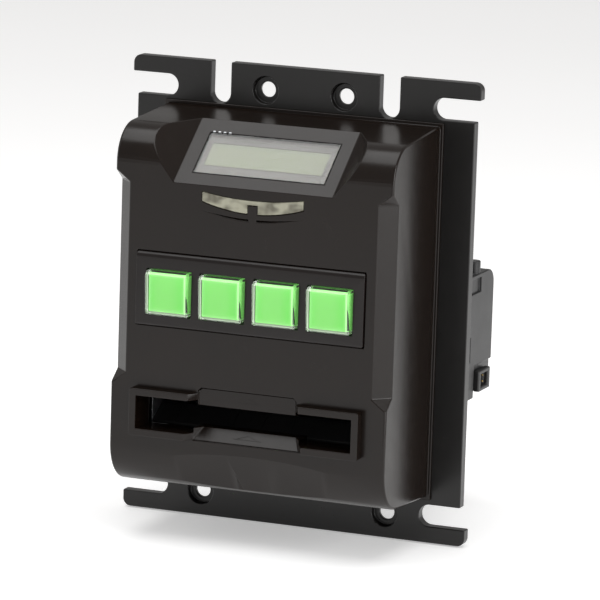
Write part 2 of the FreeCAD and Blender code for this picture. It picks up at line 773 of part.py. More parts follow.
def make_cover():
    """The hollow front cover, open towards the plate."""
    outer = prism("cover_outer", "YZ", cover_profile(0), (-cover_half, cover_half))
    soften("cover_side_edges", outer, edge_round, on_cover_side)
    flanks = [flank_cutter("flank_left", -1), flank_cutter("flank_right", 1)]
    skin = cut("cover_skin", outer, *flanks)
    plan_cut = flank_cut - cover_wall * 0.6
    plan = [(-inner_half, plate_front + 1), (-inner_half, inner_front + plan_cut),
            (-inner_half + plan_cut, inner_front), (inner_half - plan_cut, inner_front),
            (inner_half, inner_front + plan_cut), (inner_half, plate_front + 1)]
    cavity = common("cover_cavity",
                    prism("cavity_profile", "YZ", cover_profile(-1), (-inner_half, inner_half)),
                    prism("cavity_plan", "XY", list(reversed(plan)), (cover_low - 5, cover_top + 5)))
    shell = cut("cover_shell", skin, cavity)
    tub = common("display_tub", skin, display_wedge("tub_wedge", cover_wall * 0.5, -cover_wall),
                 box("tub_limit", (-inner_half, inner_half), (cover_front, plate_front - tub_back),
                     (display_mid_z - tub_drop, cover_top)))
    rim = box("cover_rim", (-cover_half - rim_reach, cover_half + rim_reach),
              (plate_front - rim_thick, plate_front), (cover_low - rim_reach, cover_top + rim_reach))
    rim_void = box("rim_void", (-inner_half, inner_half), (plate_front - 5, plate_front + 1),
                   (inner_low, inner_top))
    boss_span = (plate_front - boss_length, plate_front)
    bosses = [rod(f"boss_{i}", "Y", at, boss_radius, boss_span)
              for i, at in enumerate(cover_bosses)]
    webs = [box(f"boss_web_{i}", (at[0] - web_half, at[0] + web_half), boss_span,
                sorted((at[1], (cover_top - 1 if at[1].value > 0 else cover_low + 1)),
                       key=lambda size: size.value))
            for i, at in enumerate(cover_bosses)]
    posts = [rod(f"button_post_{i}", "Y", at, button_post_radius,
                 (inner_front - 0.5, button_board_front))
             for i, at in enumerate(button_posts)]
    posts += [rod(f"light_post_{i}", "Y", (x, (lens_low + lens_high) / 2), light_post_radius,
                  (inner_front - 0.5, light_board_front))
              for i, x in enumerate((-lens_half - button_post_radius, lens_half + button_post_radius))]
    solid = join("cover_solid", shell, tub, cut("rim_ring", rim, rim_void), *bosses, *webs, *posts)
    node("front_cover", cut("cover_cut", solid, *cover_tools()))


def on_cover_side(edge):
    """True for the side edges of the cover's front, shoulder and belly."""
    middle = edge.valueAt((edge.FirstParameter + edge.LastParameter) / 2)
    at_side = abs(abs(middle.x) - cover_half.value) < 1e-4
    return at_side and middle.y < plate_front.value - 1e-3


def cover_tools():
    """Every opening, groove and pilot hole of the cover."""
    front = (cover_front - 2, inner_front + 3)
    tools = [display_wedge("display_well", 0, zero)]
    tools.append(tilted("display_opening", window_width / 2 + clearance / 2,
                        window_height / 2 + clearance / 2, -cover_wall - 4, zero + 1))
    tab = lens_notch / 2 - clearance / 2
    lens_tab = box("lens_tab", (-tab, tab), (front[0] - 1, front[1] + 1),
                   (lens_low - 3, lens_high - lens_link - clearance / 2))
    lens_band = band("lens_opening", clearance / 2, lens_low, lens_high, lens_half, front)
    tools.append(cut("lens_opening_tool", lens_band, lens_tab))
    groove_low = lens_low - groove_drop
    groove_span = (cover_front - 1, cover_front + groove_depth)
    groove = band("lip_groove_band", 0, groove_low, groove_low + groove_width, groove_half, groove_span)
    bridge = box("lip_groove_bridge", (-groove_bridge, groove_bridge), (cover_front - 2, cover_front + 2),
                 (groove_low - 2, groove_low + 4))
    tools.append(cut("lip_groove", groove, bridge))
    half, tall = panel_width / 2 + clearance / 3, panel_height / 2 + clearance / 3
    tools.append(box("panel_seat", (-half, half), (cover_front - 2, panel_back),
                     (panel_mid - tall, panel_mid + tall)))
    for number, x in enumerate(button_places):
        tools.append(button_hole(f"button_hole_{number}", x, front))
    wide = mouth_half + sleeve_wall + clearance / 2
    tall = mouth_height / 2 + sleeve_wall + clearance / 2
    tools.append(box("mouth_hole", (-wide, wide), front, (mouth_mid - tall, mouth_mid + tall)))
    tools.append(prism("scoop_hole_upper", "XZ", tongue_outline(clearance / 2), front))
    lower = scoop_lower_half + clearance / 2
    tools.append(box("scoop_hole_lower", (-lower, lower), front,
                     (scoop_base - clearance / 2, mouth_mid)))
    for number, at in enumerate(cover_bosses):
        tools.append(rod(f"boss_pilot_{number}", "Y", at, screw_radius,
                         (plate_front - boss_length + 2, plate_front + 1)))
    tools.append(belly_relief())
    return tools


def belly_relief():
    """The cutter of the wide, shallow hollow under the mouth, which ends above in an arch."""
    hollow = doc.addObject("Part::Cylinder", "belly_relief")
    bind(hollow, "Radius", relief_radius)
    bind(hollow, "Height", relief_length)
    tilt = FreeCAD.Rotation(FreeCAD.Vector(1, 0, 0), relief_tilt.value)
    hollow.Placement = FreeCAD.Placement(FreeCAD.Vector(), tilt)
    bind(hollow, "Placement.Rotation.Angle", relief_tilt)
    out_y, out_z = -cosine(relief_tilt), -sine(relief_tilt)
    half = relief_length / 2
    place(hollow, relief_shift, cover_front + out_y * relief_radius - out_z * half,
          relief_crown + out_z * relief_radius + out_y * half)
    return hollow


# ---------------------------------------------------------------- display

def make_display():
    """The clear window and the character display module behind it."""
    half_w, half_h = window_width / 2, window_height / 2
    pane = tilted("window_pane", half_w, half_h, -window_thick, zero)
    node("display_window", pane)
    glass_top = -window_thick - layer_gap
    glass_low = glass_top - glass_thick
    glass = tilted("glass_block", glass_width / 2 + 1, glass_height / 2 + 1, glass_low, glass_top)
    node("display_glass", glass)
    board_top = -cover_wall
    frame = tilted("frame_block", half_w - 0.5, half_h - 0.5, board_top, -window_thick)
    seat = tilted("frame_seat", glass_width / 2 + 1 + layer_gap, glass_height / 2 + 1 + layer_gap,
                  board_top - 1, glass_top + layer_gap / 2)
    sight = tilted("frame_sight", glass_width / 2, glass_height / 2, board_top - 1, zero + 1)
    node("display_frame", cut("frame_cut", frame, seat, sight))
    board = tilted("board_block", half_w + 3, half_h + 2, board_top - board_thick, board_top)
    node("display_board", board)


# ---------------------------------------------------------------- status light

def make_status_light():
    """The arched lens, its board and four emitters behind it."""
    lens_blank = band("lens_blank", 0, lens_low, lens_high, lens_half,
                      (cover_front - lens_proud, lens_back))
    half = lens_notch / 2
    notch = box("lens_notch_cut", (-half, half), (cover_front - 1, lens_back + 1),
                (lens_low - 2, lens_high - lens_link))
    node("status_lens", cut("lens_cut", lens_blank, notch))
    board_front = light_board_front
    mid = (lens_low + lens_high) / 2
    node("status_light_board", box("light_board", (-lens_half - 3, lens_half + 3),
                                   (board_front, board_front + board_thick), (mid - 4, mid + 4.5)))
    lights = [box(f"emitter_{i}", (x - emitter_half, x + emitter_half),
                  (board_front - emitter_thick, board_front),
                  (mid - emitter_height / 2, mid + emitter_height / 2))
              for i, x in enumerate([lens_half * k for k in (-0.7, -0.3, 0.3, 0.7)])]
    node("status_emitters", group_shape("Part::Compound", "emitters", lights))


# ---------------------------------------------------------------- buttons

def button_hole(name, x, span):
    """The cutter of one button's opening."""
    wide, tall = cap_width / 2 + cap_gap, cap_height / 2 + cap_gap
    return box(name, (x - wide, x + wide), span, (button_mid - tall, button_mid + tall))


def make_button_panel():
    """The strip that frames the four buttons, rounded over along its top and bottom edges."""
    half, tall = panel_width / 2, panel_height / 2
    low, high = panel_mid - tall, panel_mid + tall
    corners = [(-half, low, edge_round), (half, low, edge_round),
               (half, high, edge_round), (-half, high, edge_round)]
    face = prism("panel_face", "XZ", corners, (panel_front, panel_back))
    side_view = [(panel_front, low, panel_under), (panel_back, low), (panel_back, high),
                 (panel_front, high, panel_brow)]
    blank = common("panel_blank", face, prism("panel_side", "YZ", side_view, (-half, half)))
    tools = [button_hole(f"panel_hole_{i}", x, (panel_front - 1, panel_back + 1))
             for i, x in enumerate(button_places)]
    node("button_panel", cut("panel_cut", blank, *tools))


def make_button(number, x):
    """One lit button: clear cap, coloured insert and the plunger that carries them."""
    wide, tall = cap_width / 2, cap_height / 2
    cap_back = button_front + cap_length
    side_view = [(cap_lean, -tall, edge_round / 2), (cap_length, -tall), (cap_length, tall),
                 (cap_brow_depth, tall, edge_round / 2), (zero, tall - cap_brow, edge_round / 2)]
    shell = prism(f"cap_{number}", "YZ", side_view, (-wide, wide))
    place(shell, x, button_front, button_mid)
    in_w, in_h = wide - cap_wall, tall - cap_wall
    face_back = button_front + cap_lean + cap_face
    well = box(f"cap_well_{number}", (x - in_w, x + in_w), (face_back, cap_back + 1),
               (button_mid - in_h, button_mid + in_h))
    node(f"button_{number}_cap", cut(f"cap_cut_{number}", shell, well))
    fit = bearing_fit
    node(f"button_{number}_insert",
         box(f"insert_{number}", (x - in_w + fit, x + in_w - fit), (face_back + fit, cap_back),
             (button_mid - in_h + fit, button_mid + in_h - fit)))
    plate = box(f"plunger_plate_{number}", (x - wide + 0.4, x + wide - 0.4), (cap_back, plunger_back),
                (button_mid - tall + 0.4, button_mid + tall - 0.4))
    stem = rod(f"stem_{number}", "Y", (x, button_mid), stem_radius, (cap_back, stem_end))
    node(f"button_{number}_plunger", join(f"plunger_{number}", plate, stem))


def make_switches():
    """The switch bodies, their return springs and the board that carries them."""
    half = switch_width / 2
    bodies = []
    springs = []
    for number, x in enumerate(button_places):
        block = box(f"switch_block_{number}", (x - half, x + half), (switch_front, switch_back),
                    (button_mid - half, button_mid + half))
        bore = rod(f"switch_bore_{number}", "Y", (x, button_mid), stem_radius + bearing_fit,
                   (switch_front - 1, switch_back - 0.8))
        bodies.append(cut(f"switch_{number}", block, bore))
        springs.append(coil_spring(f"spring_{number}", x))
    node("button_switches", group_shape("Part::Compound", "switches", bodies))
    node("button_springs", group_shape("Part::Compound", "springs", springs))
    board_half = button_pitch * 2 + 1
    node("button_board", box("button_board_block", (-board_half, board_half),
                             (button_board_front, button_board_front + board_thick),
                             (button_mid - button_board_half, button_mid + button_board_half)))


def coil_spring(name, x):
    """A return spring round one plunger stem: a helix swept by the wire's section."""
    helix = doc.addObject("Part::Helix", f"{name}_path")
    radius = stem_radius + spring_set
    length = spring_room - spring_wire * 2 - clearance / 2
    bind(helix, "Radius", radius)
    bind(helix, "Height", length)
    bind(helix, "Pitch", length / spring_turns)
    section = doc.addObject("Part::Circle", f"{name}_section")
    bind(section, "Radius", spring_wire)
    section.Placement.Rotation = FreeCAD.Rotation(FreeCAD.Vector(1, 0, 0), 90)
    bind(section, "Placement.Base.x", radius)
    coil = doc.addObject("Part::Sweep", name)
    coil.Sections = [section]
    coil.Spine = (helix, ["Edge1"])
    coil.Solid = True
    coil.Frenet = True
    coil.Placement = FreeCAD.Placement(FreeCAD.Vector(), TURNS["Y"])
    place(coil, x, plunger_back + spring_wire + clearance / 4, button_mid)
    return coil


# ---------------------------------------------------------------- ticket mouth

scoop_top = mouth_high + scoop_rise
scoop_base = mouth_low - ring_wall


def tongue_outline(grow):
    """The front view of the upper tongue, its top corners cut off."""
    half = scoop_half + grow
    top = scoop_top + grow
    low = mouth_high - tongue_reach
    return [(-half, low), (half, low), (half, top - tongue_corner), (half - tongue_corner, top),
            (-half + tongue_corner, top), (-half, top - tongue_corner)]


def scoop_gap(name, half, depth, span):
    """The cutter of one finger gap, its cheeks closing in from the ring's front to a depth."""
    ahead = (ring_proud + 1) * tangent(cheek_slope)
    behind = depth * tangent(cheek_slope)
    corners = [(-half - ahead, ring_front - 1), (half + ahead, ring_front - 1),
               (half - behind, cover_front + depth), (-half + behind, cover_front + depth)]
    return prism(name, "XY", corners, span)


def make_mouth():
    """The raised ring of the ticket mouth with a sleeve and two finger scoops."""
    outer = mouth_half + ring_wall
    tall = mouth_height / 2 + ring_wall
    corner = edge_round * 0.8
    corners = [(-outer, mouth_mid - tall, corner), (outer, mouth_mid - tall, corner),
               (outer, mouth_mid + tall, corner), (-outer, mouth_mid + tall, corner)]
    ring = prism("mouth_ring", "XZ", corners, (ring_front, cover_front))
    wide, high = mouth_half + sleeve_wall, mouth_height / 2 + sleeve_wall
    sleeve = box("mouth_sleeve", (-wide, wide), (cover_front, sleeve_back),
                 (mouth_mid - high, mouth_mid + high))
    opening = box("mouth_opening", (-mouth_half, mouth_half), (ring_front - 1, sleeve_back + 1),
                  (mouth_low, mouth_high))
    tube = cut("mouth_tube", join("mouth_body", ring, sleeve), opening)
    upper = prism("tongue_upper", "XZ", tongue_outline(zero), (cover_front, sleeve_back))
    crest = mouth_low + tongue_reach
    lower = box("tongue_lower", (-scoop_lower_half, scoop_lower_half), (cover_front, sleeve_back),
                (scoop_base, crest))
    upper_gap = scoop_gap("gap_upper", scoop_half, tongue_set, (mouth_mid, scoop_top + 1))
    lower_gap = scoop_gap("gap_lower", scoop_lower_half, scoop_depth, (scoop_base - 2, mouth_mid))
    slope = [(ring_front - 2, scoop_base - 2), (cover_front, scoop_base - 2), (cover_front, scoop_base),
             (cover_front + scoop_depth, crest), (cover_front + scoop_depth, mouth_mid),
             (ring_front - 2, mouth_mid)]
    lower_form = prism("gap_lower_side", "YZ", slope, (-outer, outer))
    node("mouth_bezel", cut("mouth_cut", join("mouth_join", tube, upper, lower), upper_gap,
                            common("gap_lower_form", lower_gap, lower_form)))


def make_shutter():
    """The sliding shutter behind the mouth and its two side rails."""
    front = sleeve_back + clearance
    back = front + shutter_thick
    half = mouth_half + 1
    height = mouth_height + shutter_overlap * 2
    low = mouth_high + shutter_overlap
    plate = box("shutter_block", (-half, half), (front, back), (low, low + height))
    tab = box("shutter_tab", (-shutter_tab_half, shutter_tab_half), (back, back + shutter_tab),
              (low + height - 3, low + height))
    node("shutter_plate", join("shutter_join", plate, tab))
    rails = []
    for side, word in ((-1, "left"), (1, "right")):
        ends = sorted(((half - 1) * side, (half + rail_reach) * side), key=lambda size: size.value)
        slot = sorted(((half - 2) * side, (half + clearance) * side), key=lambda size: size.value)
        rail_span = (mouth_low - 2, low + height + 2)
        block = box(f"rail_{word}", ends, (sleeve_back, back + 2), rail_span)
        groove = box(f"rail_groove_{word}", slot, (front - clearance / 2, back + clearance / 2),
                     (rail_span[0] + 1, rail_span[1] + 1))
        rails.append(cut(f"rail_cut_{word}", block, groove))
    node("shutter_rails", group_shape("Part::Compound", "rails", rails))


# ---------------------------------------------------------------- transport

chassis_in = mouth_half + clearance
chassis_out = chassis_in + chassis_thick
path_low = mouth_mid - path_gap / 2
path_high = mouth_mid + path_gap / 2
guide_start = sleeve_back + shutter_thick + 3
tail_end = housing_depth - housing_wall
chassis_end = tail_start - housing_wall - 1
drive_z = mouth_mid + roller_radius
front_shaft_y = sleeve_back + front_shaft_set
rear_shaft_y = tail_start - rear_shaft_set
front_pinch_z = mouth_mid - 0.1 - front_pinch_radius
rear_pinch_z = mouth_mid - 0.1 - rear_pinch_radius
window_low = mouth_mid - 12
window_high = housing_high - housing_wall
shaft_out = chassis_out + gear_width + 1.0
window_half = shaft_out + 0.6
tab_end = window_half + 3.8
tab_rows = (mouth_mid - 7, chassis_top - 5)
tab_screws = [((window_half + tab_end) / 2 * i, z) for i in (-1, 1) for z in tab_rows]
roller_rows = [-roller_spread, roller_spread]
gear_span = (-chassis_out - 0.4 - gear_width, -chassis_out - 0.4)
pulley_span = (chassis_out + 0.4, chassis_out + 0.4 + gear_width)

gear_radius = gear_module * gear_teeth / 2
idler_radius = gear_module * idler_teeth / 2
pinion_radius = gear_module * pinion_teeth / 2
idler_step = gear_radius + idler_radius + gear_backlash / 2
motor_step = idler_step + idler_radius + pinion_radius + gear_backlash / 2
idler_at = (rear_shaft_y + cosine(train_angle) * idler_step, drive_z + sine(train_angle) * idler_step)
motor_at = (rear_shaft_y + cosine(train_angle) * motor_step, drive_z + sine(train_angle) * motor_step)


def make_guides():
    """The two plates that lead a ticket from the mouth to the rear, cut out for the rollers."""
    ramp_end = guide_start + guide_ramp
    t = guide_thick
    lower_view = [(guide_start, mouth_low), (ramp_end, path_low), (chassis_end, path_low),
                  (chassis_end, path_low - t), (ramp_end - t / 2, path_low - t),
                  (guide_start, mouth_low - t * 1.2)]
    upper_view = [(guide_start, mouth_high), (guide_start, mouth_high + t * 1.2),
                  (ramp_end - t / 2, path_high + t), (chassis_end, path_high + t),
                  (chassis_end, path_high), (ramp_end, path_high)]
    lower = prism("lower_guide_sheet", "YZ", list(reversed(lower_view)), (-chassis_in, chassis_in))
    upper = prism("upper_guide_sheet", "YZ", list(reversed(upper_view)), (-chassis_in, chassis_in))
    lower_tools = []
    upper_tools = []
    for number, x in enumerate(roller_rows):
        half = roller_width / 2 + roller_room
        span = (x - half, x + half)
        for place_y, pinch, word in ((front_shaft_y, front_pinch_radius, "front"),
                                     (rear_shaft_y, rear_pinch_radius, "rear")):
            deep = pinch + roller_room
            lower_tools.append(box(f"pinch_gap_{word}_{number}", span, (place_y - deep, place_y + deep),
                                   (path_low - t - 1, path_low + 1)))
            wide = roller_radius * 0.8
            upper_tools.append(box(f"roller_gap_{word}_{number}", span, (place_y - wide, place_y + wide),
                                   (path_high - 1, path_high + t + 1)))
    node("lower_guide", cut("lower_guide_cut", lower, *lower_tools))
    node("upper_guide", cut("upper_guide_cut", upper, *upper_tools))


def make_chassis():
    """The steel side plates of the transport, bored for its shafts, and the ties between them."""
    low = window_low + 1
    step = housing_low + housing_floor + 0.3
    tab_front = plate_front - chassis_thick
    view = [(guide_start, low), (plate_front, low), (plate_front, step), (chassis_end, step),
            (chassis_end, chassis_top), (tab_front, chassis_top), (tab_front, mouth_high + 10),
            (guide_start, mouth_high + 10)]
    bores = ((front_shaft_y, drive_z, shaft_radius), (rear_shaft_y, drive_z, shaft_radius),
             (front_shaft_y, front_pinch_z, axle_radius), (rear_shaft_y, rear_pinch_z, axle_radius))
    for side, word in ((-1, "left"), (1, "right")):
        span = sorted((chassis_in * side, chassis_out * side), key=lambda size: size.value)
        wing = sorted((chassis_in * side, tab_end * side), key=lambda size: size.value)
        tabs = [box(f"chassis_{word}_tab_{i}", wing, (tab_front, plate_front),
                    (z - tab_half, z + tab_half))
                for i, z in enumerate(tab_rows)]
        flat = prism(f"chassis_{word}_flat", "YZ", list(reversed(view)), span)
        sheet_plate = join(f"chassis_{word}_sheet", flat, *tabs)
        reach = (span[0] - 1, span[1] + 1)
        tools = [rod(f"chassis_{word}_bore_{i}", "X", (y, z), radius + bearing_fit, reach)
                 for i, (y, z, radius) in enumerate(bores)]
        tools += [rod(f"tab_hole_{word}_{i}", "Y", at, small_screw + clearance / 3, (tab_front - 1, zero))
                  for i, at in enumerate(tab_screws)]
        if side < 0:
            tools.append(rod("motor_boss_hole", "X", motor_at, motor_nose_radius + 0.1, reach))
            tools.append(rod("idler_pin_hole", "X", idler_at, pin_radius, reach))
        node(f"chassis_{word}", cut(f"chassis_{word}_cut", sheet_plate, *tools))
    ties = [rod(f"tie_{i}", "X", (y, z), tie_radius, (-chassis_in, chassis_in))
            for i, (y, z) in enumerate(((guide_start + 3, mouth_high + 7), (zero + 6, chassis_top - 4),
                                        (chassis_end - 4, chassis_top - 4)))]
    node("chassis_ties", group_shape("Part::Compound", "ties", ties))


def roller_pair(name, y, z, radius, bore):
    """Two rollers side by side on one shaft, as a ring each."""
    rings = []
    for number, x in enumerate(roller_rows):
        half = roller_width / 2
        tyre = rod(f"{name}_tyre_{number}", "X", (y, z), radius, (x - half, x + half))
        hole = rod(f"{name}_hole_{number}", "X", (y, z), bore, (x - half - 1, x + half + 1))
        rings.append(cut(f"{name}_{number}", tyre, hole))
    return group_shape("Part::Compound", name, rings)


def make_rollers():
    """Drive shafts above the path and pinch axles below it, each with two rollers."""
    grip = roller_radius - clearance
    for word, y, pinch_z, pinch in (("front", front_shaft_y, front_pinch_z, front_pinch_radius),
                                    ("rear", rear_shaft_y, rear_pinch_z, rear_pinch_radius)):
        node(f"{word}_drive_shaft",
             rod(f"{word}_shaft", "X", (y, drive_z), shaft_radius, (-shaft_out, shaft_out)))
        node(f"{word}_drive_rollers", roller_pair(f"{word}_rollers", y, drive_z, grip, shaft_radius))
        node(f"{word}_pinch_axle",
             rod(f"{word}_axle", "X", (y, pinch_z), axle_radius, (-chassis_out - 0.5, chassis_out + 0.5)))
        node(f"{word}_pinch_rollers",
             roller_pair(f"{word}_pinches", y, pinch_z, pinch - clearance / 3, axle_radius))
        pulley = rod(f"{word}_pulley_disc", "X", (y, drive_z), pulley_radius, pulley_span)
        hole = rod(f"{word}_pulley_hole", "X", (y, drive_z), shaft_radius,
                   (pulley_span[0] - 1, pulley_span[1] + 1))
        node(f"{word}_pulley", cut(f"{word}_pulley_cut", pulley, hole))


def make_belt():
    """The closed belt round the front and rear pulleys."""
    inner = pulley_radius + 0.1
    outer = inner + belt_thick
    span = (pulley_span[0] + 0.3, pulley_span[1] - 0.3)
    wide = (span[0] - 1, span[1] + 1)

    def loop(name, radius, reach):
        """A solid the shape of a race track round both pulleys."""
        ends = [rod(f"{name}_{i}", "X", (y, drive_z), radius, reach)
                for i, y in enumerate((front_shaft_y, rear_shaft_y))]
        run = box(f"{name}_run", reach, (front_shaft_y, rear_shaft_y),
                  (drive_z - radius, drive_z + radius))
        return join(name, run, *ends)

    node("drive_belt", cut("belt_cut", loop("belt_outer", outer, span), loop("belt_inner", inner, wide)))


def make_gear_train():
    """The motor, its pinion, the idler on its pin and the gear on the rear shaft."""
    towards = train_angle.value
    half_idler = 180 / idler_teeth.value
    rear = gear("rear_gear_body", gear_teeth, shaft_radius, (rear_shaft_y, drive_z), gear_span, towards)
    node("rear_gear", rear)
    idler = gear("idler_body", idler_teeth, pin_radius + bearing_fit, idler_at, gear_span,
                 towards + half_idler)
    node("idler_gear", idler)
    pin_span = (gear_span[0] - 0.3, -chassis_in)
    node("idler_pin", rod("idler_pin_rod", "X", idler_at, pin_radius, pin_span))
    pinion = gear("pinion_body", pinion_teeth, pin_radius, motor_at, gear_span, towards)
    node("motor_pinion", pinion)
    motor_face = -chassis_in
    can = rod("motor_can", "X", motor_at, motor_radius, (motor_face, motor_face + motor_length))
    nose = rod("motor_nose", "X", motor_at, motor_nose_radius, (motor_face - 0.6, motor_face + 1))
    cap = rod("motor_cap", "X", motor_at, motor_cap_radius,
              (motor_face + motor_length - 1, motor_face + motor_length + motor_cap_length))
    bore = rod("motor_bore", "X", motor_at, pin_radius + bearing_fit,
               (motor_face - 2, motor_face + motor_length - 4))
    node("motor", cut("motor_cut", join("motor_body", can, nose, cap), bore))
    node("motor_shaft", rod("motor_shaft_rod", "X", motor_at, pin_radius,
                            (gear_span[0] - 0.3, motor_face + motor_length - 4.5)))


# ---------------------------------------------------------------- rear housing

housing_half = housing_width / 2
housing_in = housing_half - housing_wall
flange_x = housing_half + flange_reach / 2
housing_screws = [(flange_x * i, z) for i in (-1, 1) for z in (housing_low + 9, housing_high - 9)]


def make_housing():
    """The box behind the plate, open in front and above, with a ticket exit at the rear."""
    tail_low = housing_low + tail_lift
    view = [(zero, housing_low), (tail_start, housing_low), (tail_start, tail_low),
            (housing_depth, tail_low), (housing_depth, housing_high, housing_round),
            (zero, housing_high)]
    outer = prism("housing_outer", "YZ", view, (-housing_half, housing_half))
    floor = housing_low + housing_floor
    tail_floor = tail_low + housing_floor
    deep = tail_start - housing_wall
    top = housing_high - housing_wall
    inside = [(-plate_thick, floor), (deep, floor), (deep, tail_floor),
              (housing_depth - housing_wall, tail_floor),
              (housing_depth - housing_wall, top, housing_round - housing_wall), (-plate_thick, top)]
    cavity = prism("housing_cavity", "YZ", inside, (-housing_in, housing_in))
    flanges = []
    for side, word in ((-1, "left"), (1, "right")):
        ends = sorted(((housing_half - 1) * side, (housing_half + flange_reach) * side),
                      key=lambda size: size.value)
        flanges.append(box(f"flange_{word}", ends, (zero, flange_thick),
                           (housing_low + 3, housing_high - 3)))
    tools = [cavity]
    tools.append(box("ticket_exit", (-mouth_half, mouth_half), (tail_end - 1, housing_depth + 1),
                     (tail_floor, tail_floor + exit_height)))
    gap = lid_gap
    tools.append(box("lid_opening", (-lid_half - gap, lid_half + gap), (lid_start - gap, lid_end + gap),
                     (top - 1, housing_high + 1)))
    pocket = (housing_half - pocket_depth, housing_half + 1)
    window_start = tail_start - side_window_set
    window_top = housing_high - side_window_drop
    groove_start = tail_start - side_groove_set
    groove_base = housing_low + side_groove_rise
    tools.append(box("side_window", pocket, (window_start, window_start + side_window_length),
                     (window_top - side_window_height, window_top)))
    tools.append(box("side_groove", pocket, (groove_start, groove_start + side_groove_width),
                     (groove_base, groove_base + side_groove_height)))
    tools.append(box("socket_bay", pocket, (tail_start - 1, housing_depth + 1),
                     (housing_low - 1, housing_low + socket_bay_height)))
    for number, (x, z) in enumerate(housing_screws):
        tools.append(rod(f"flange_hole_{number}", "Y", (x, z), screw_radius + clearance / 2,
                         (-plate_thick, flange_thick + 1)))
    latch_bay = box("latch_bay", (lid_half - 1, lid_half + gap + latch_travel + 1),
                    (lid_start + latch_set - 4, lid_start + latch_set + 4), (top - 1, top + 0.6))
    tools.append(latch_bay)
    knuckles = []
    for number, x in enumerate((-lid_half + lid_knuckle_inset, lid_half - lid_knuckle_inset)):
        lug_span = (x - knuckle_half, x + knuckle_half)
        lug = rod(f"housing_knuckle_{number}", "X", hinge_at, knuckle_radius, lug_span)
        foot = box(f"knuckle_foot_{number}", lug_span,
                   (hinge_at[0] - knuckle_radius / 2, hinge_at[0] + knuckle_radius),
                   (top + housing_wall / 2, hinge_at[1]))
        knuckles += [lug, foot]
    peg_y = hinge_at[0] - knuckle_radius - peg_radius / 2
    knuckles.append(rod("corner_peg", "Z", (housing_half - peg_radius, peg_y), peg_radius,
                        (housing_high - housing_wall / 2, housing_high + peg_height)))
    solid = cut("housing_cut", join("housing_solid", outer, *flanges), *tools)
    pin_hole = rod("knuckle_hole", "X", hinge_at, hinge_radius, (-lid_half - 5, lid_half + 5))
    node("rear_housing", cut("housing_done", join("housing_lugs", solid, *knuckles), pin_hole))
    half, tall = socket_length / 2, socket_height / 2
    middle_y = tail_start + socket_set
    middle_z = tail_low + tall
    block = box("socket_outer", (housing_half - pocket_depth, housing_half + socket_proud),
                (middle_y - half, middle_y + half), (middle_z - tall, middle_z + tall))
    half, tall = socket_bore_length / 2, socket_bore_height / 2
    hole = box("socket_hole", (housing_half - pocket_depth / 2, housing_half + 5),
               (middle_y - half, middle_y + half), (middle_z - tall, middle_z + tall))
    node("socket_block", cut("socket_cut", block, hole))


hinge_at = (lid_end + lid_gap + knuckle_radius, housing_high + clearance + knuckle_radius)


def make_lid():
    """The hinged lid over the transport, its pin and its sliding thumb latch."""
    top = housing_high
    low = top - lid_thick
    panel = box("lid_panel", (-lid_half, lid_half), (lid_start, lid_end), (low, top))
    inner_half_span = lid_half - lid_barrel_inset
    barrel = rod("lid_barrel", "X", hinge_at, knuckle_radius, (-inner_half_span, inner_half_span))
    strap_span = (-inner_half_span, inner_half_span)
    strap = join("lid_strap",
                 box("strap_foot", strap_span, (lid_end - 4, lid_end), (top - 0.5, top + 1.5)),
                 box("strap_arm", strap_span, (lid_end - 4, hinge_at[0]), (top + clearance, top + 1.5)))
    pin_hole = rod("lid_pin_hole", "X", hinge_at, hinge_radius + bearing_fit, (-lid_half, lid_half))
    slot_y = lid_start + latch_set
    half = latch_half
    x_mid = lid_half - lid_barrel_inset
    slot = box("latch_slot", (x_mid - half - latch_travel - 0.4, x_mid + half + 0.4),
               (slot_y - half - 0.4, slot_y + half + 0.4), (low - 1, top + 1))
    node("access_lid", cut("lid_cut", join("lid_join", panel, barrel, strap), pin_hole, slot))
    node("lid_pin", rod("lid_pin_rod", "X", hinge_at, hinge_radius, (-lid_half - 1, lid_half + 1)))
    stem = box("latch_stem", (x_mid - half, x_mid + half), (slot_y - half, slot_y + half),
               (low - 0.3, top + 0.3))
    knob = box("latch_knob", (x_mid - 5, x_mid + 4.5), (slot_y - 4.5, slot_y + 4.5),
               (top + 0.3, top + 2.8))
    tongue = box("latch_tongue", (x_mid - 5, lid_half + lid_gap + latch_travel - 0.6),
                 (slot_y - 3.5, slot_y + 3.5), (low - 1.6, low - 0.3))
    node("lid_latch", join("latch_join", stem, knob, tongue))


# ---------------------------------------------------------------- electronics and fasteners

def make_main_board():
    """The controller board above the transport, inside the front cover, and its parts."""
    back = main_board_back
    board = box("main_board_block", (-main_board_half, main_board_half), (back - board_thick, back),
                (board_low, board_high))
    node("main_board", board)
    middle = (board_low + board_high) / 2
    chips = [box(f"chip_{i}", (zero + x - w, zero + x + w), (back, back + chip_thick),
                 (middle + z - 5, middle + z + 5))
             for i, (x, z, w) in enumerate(((-20, 10, 7), (4, 12, 5), (22, 4, 6)))]
    chips += [box(f"connector_{i}", (zero + x - 6, zero + x + 6), (back, back + connector_thick),
                  (middle + z - 2.8, middle + z + 2.8))
              for i, (x, z) in enumerate(((-22, -8), (-4, -8), (14, -14)))]
    node("board_components", group_shape("Part::Compound", "components", chips))


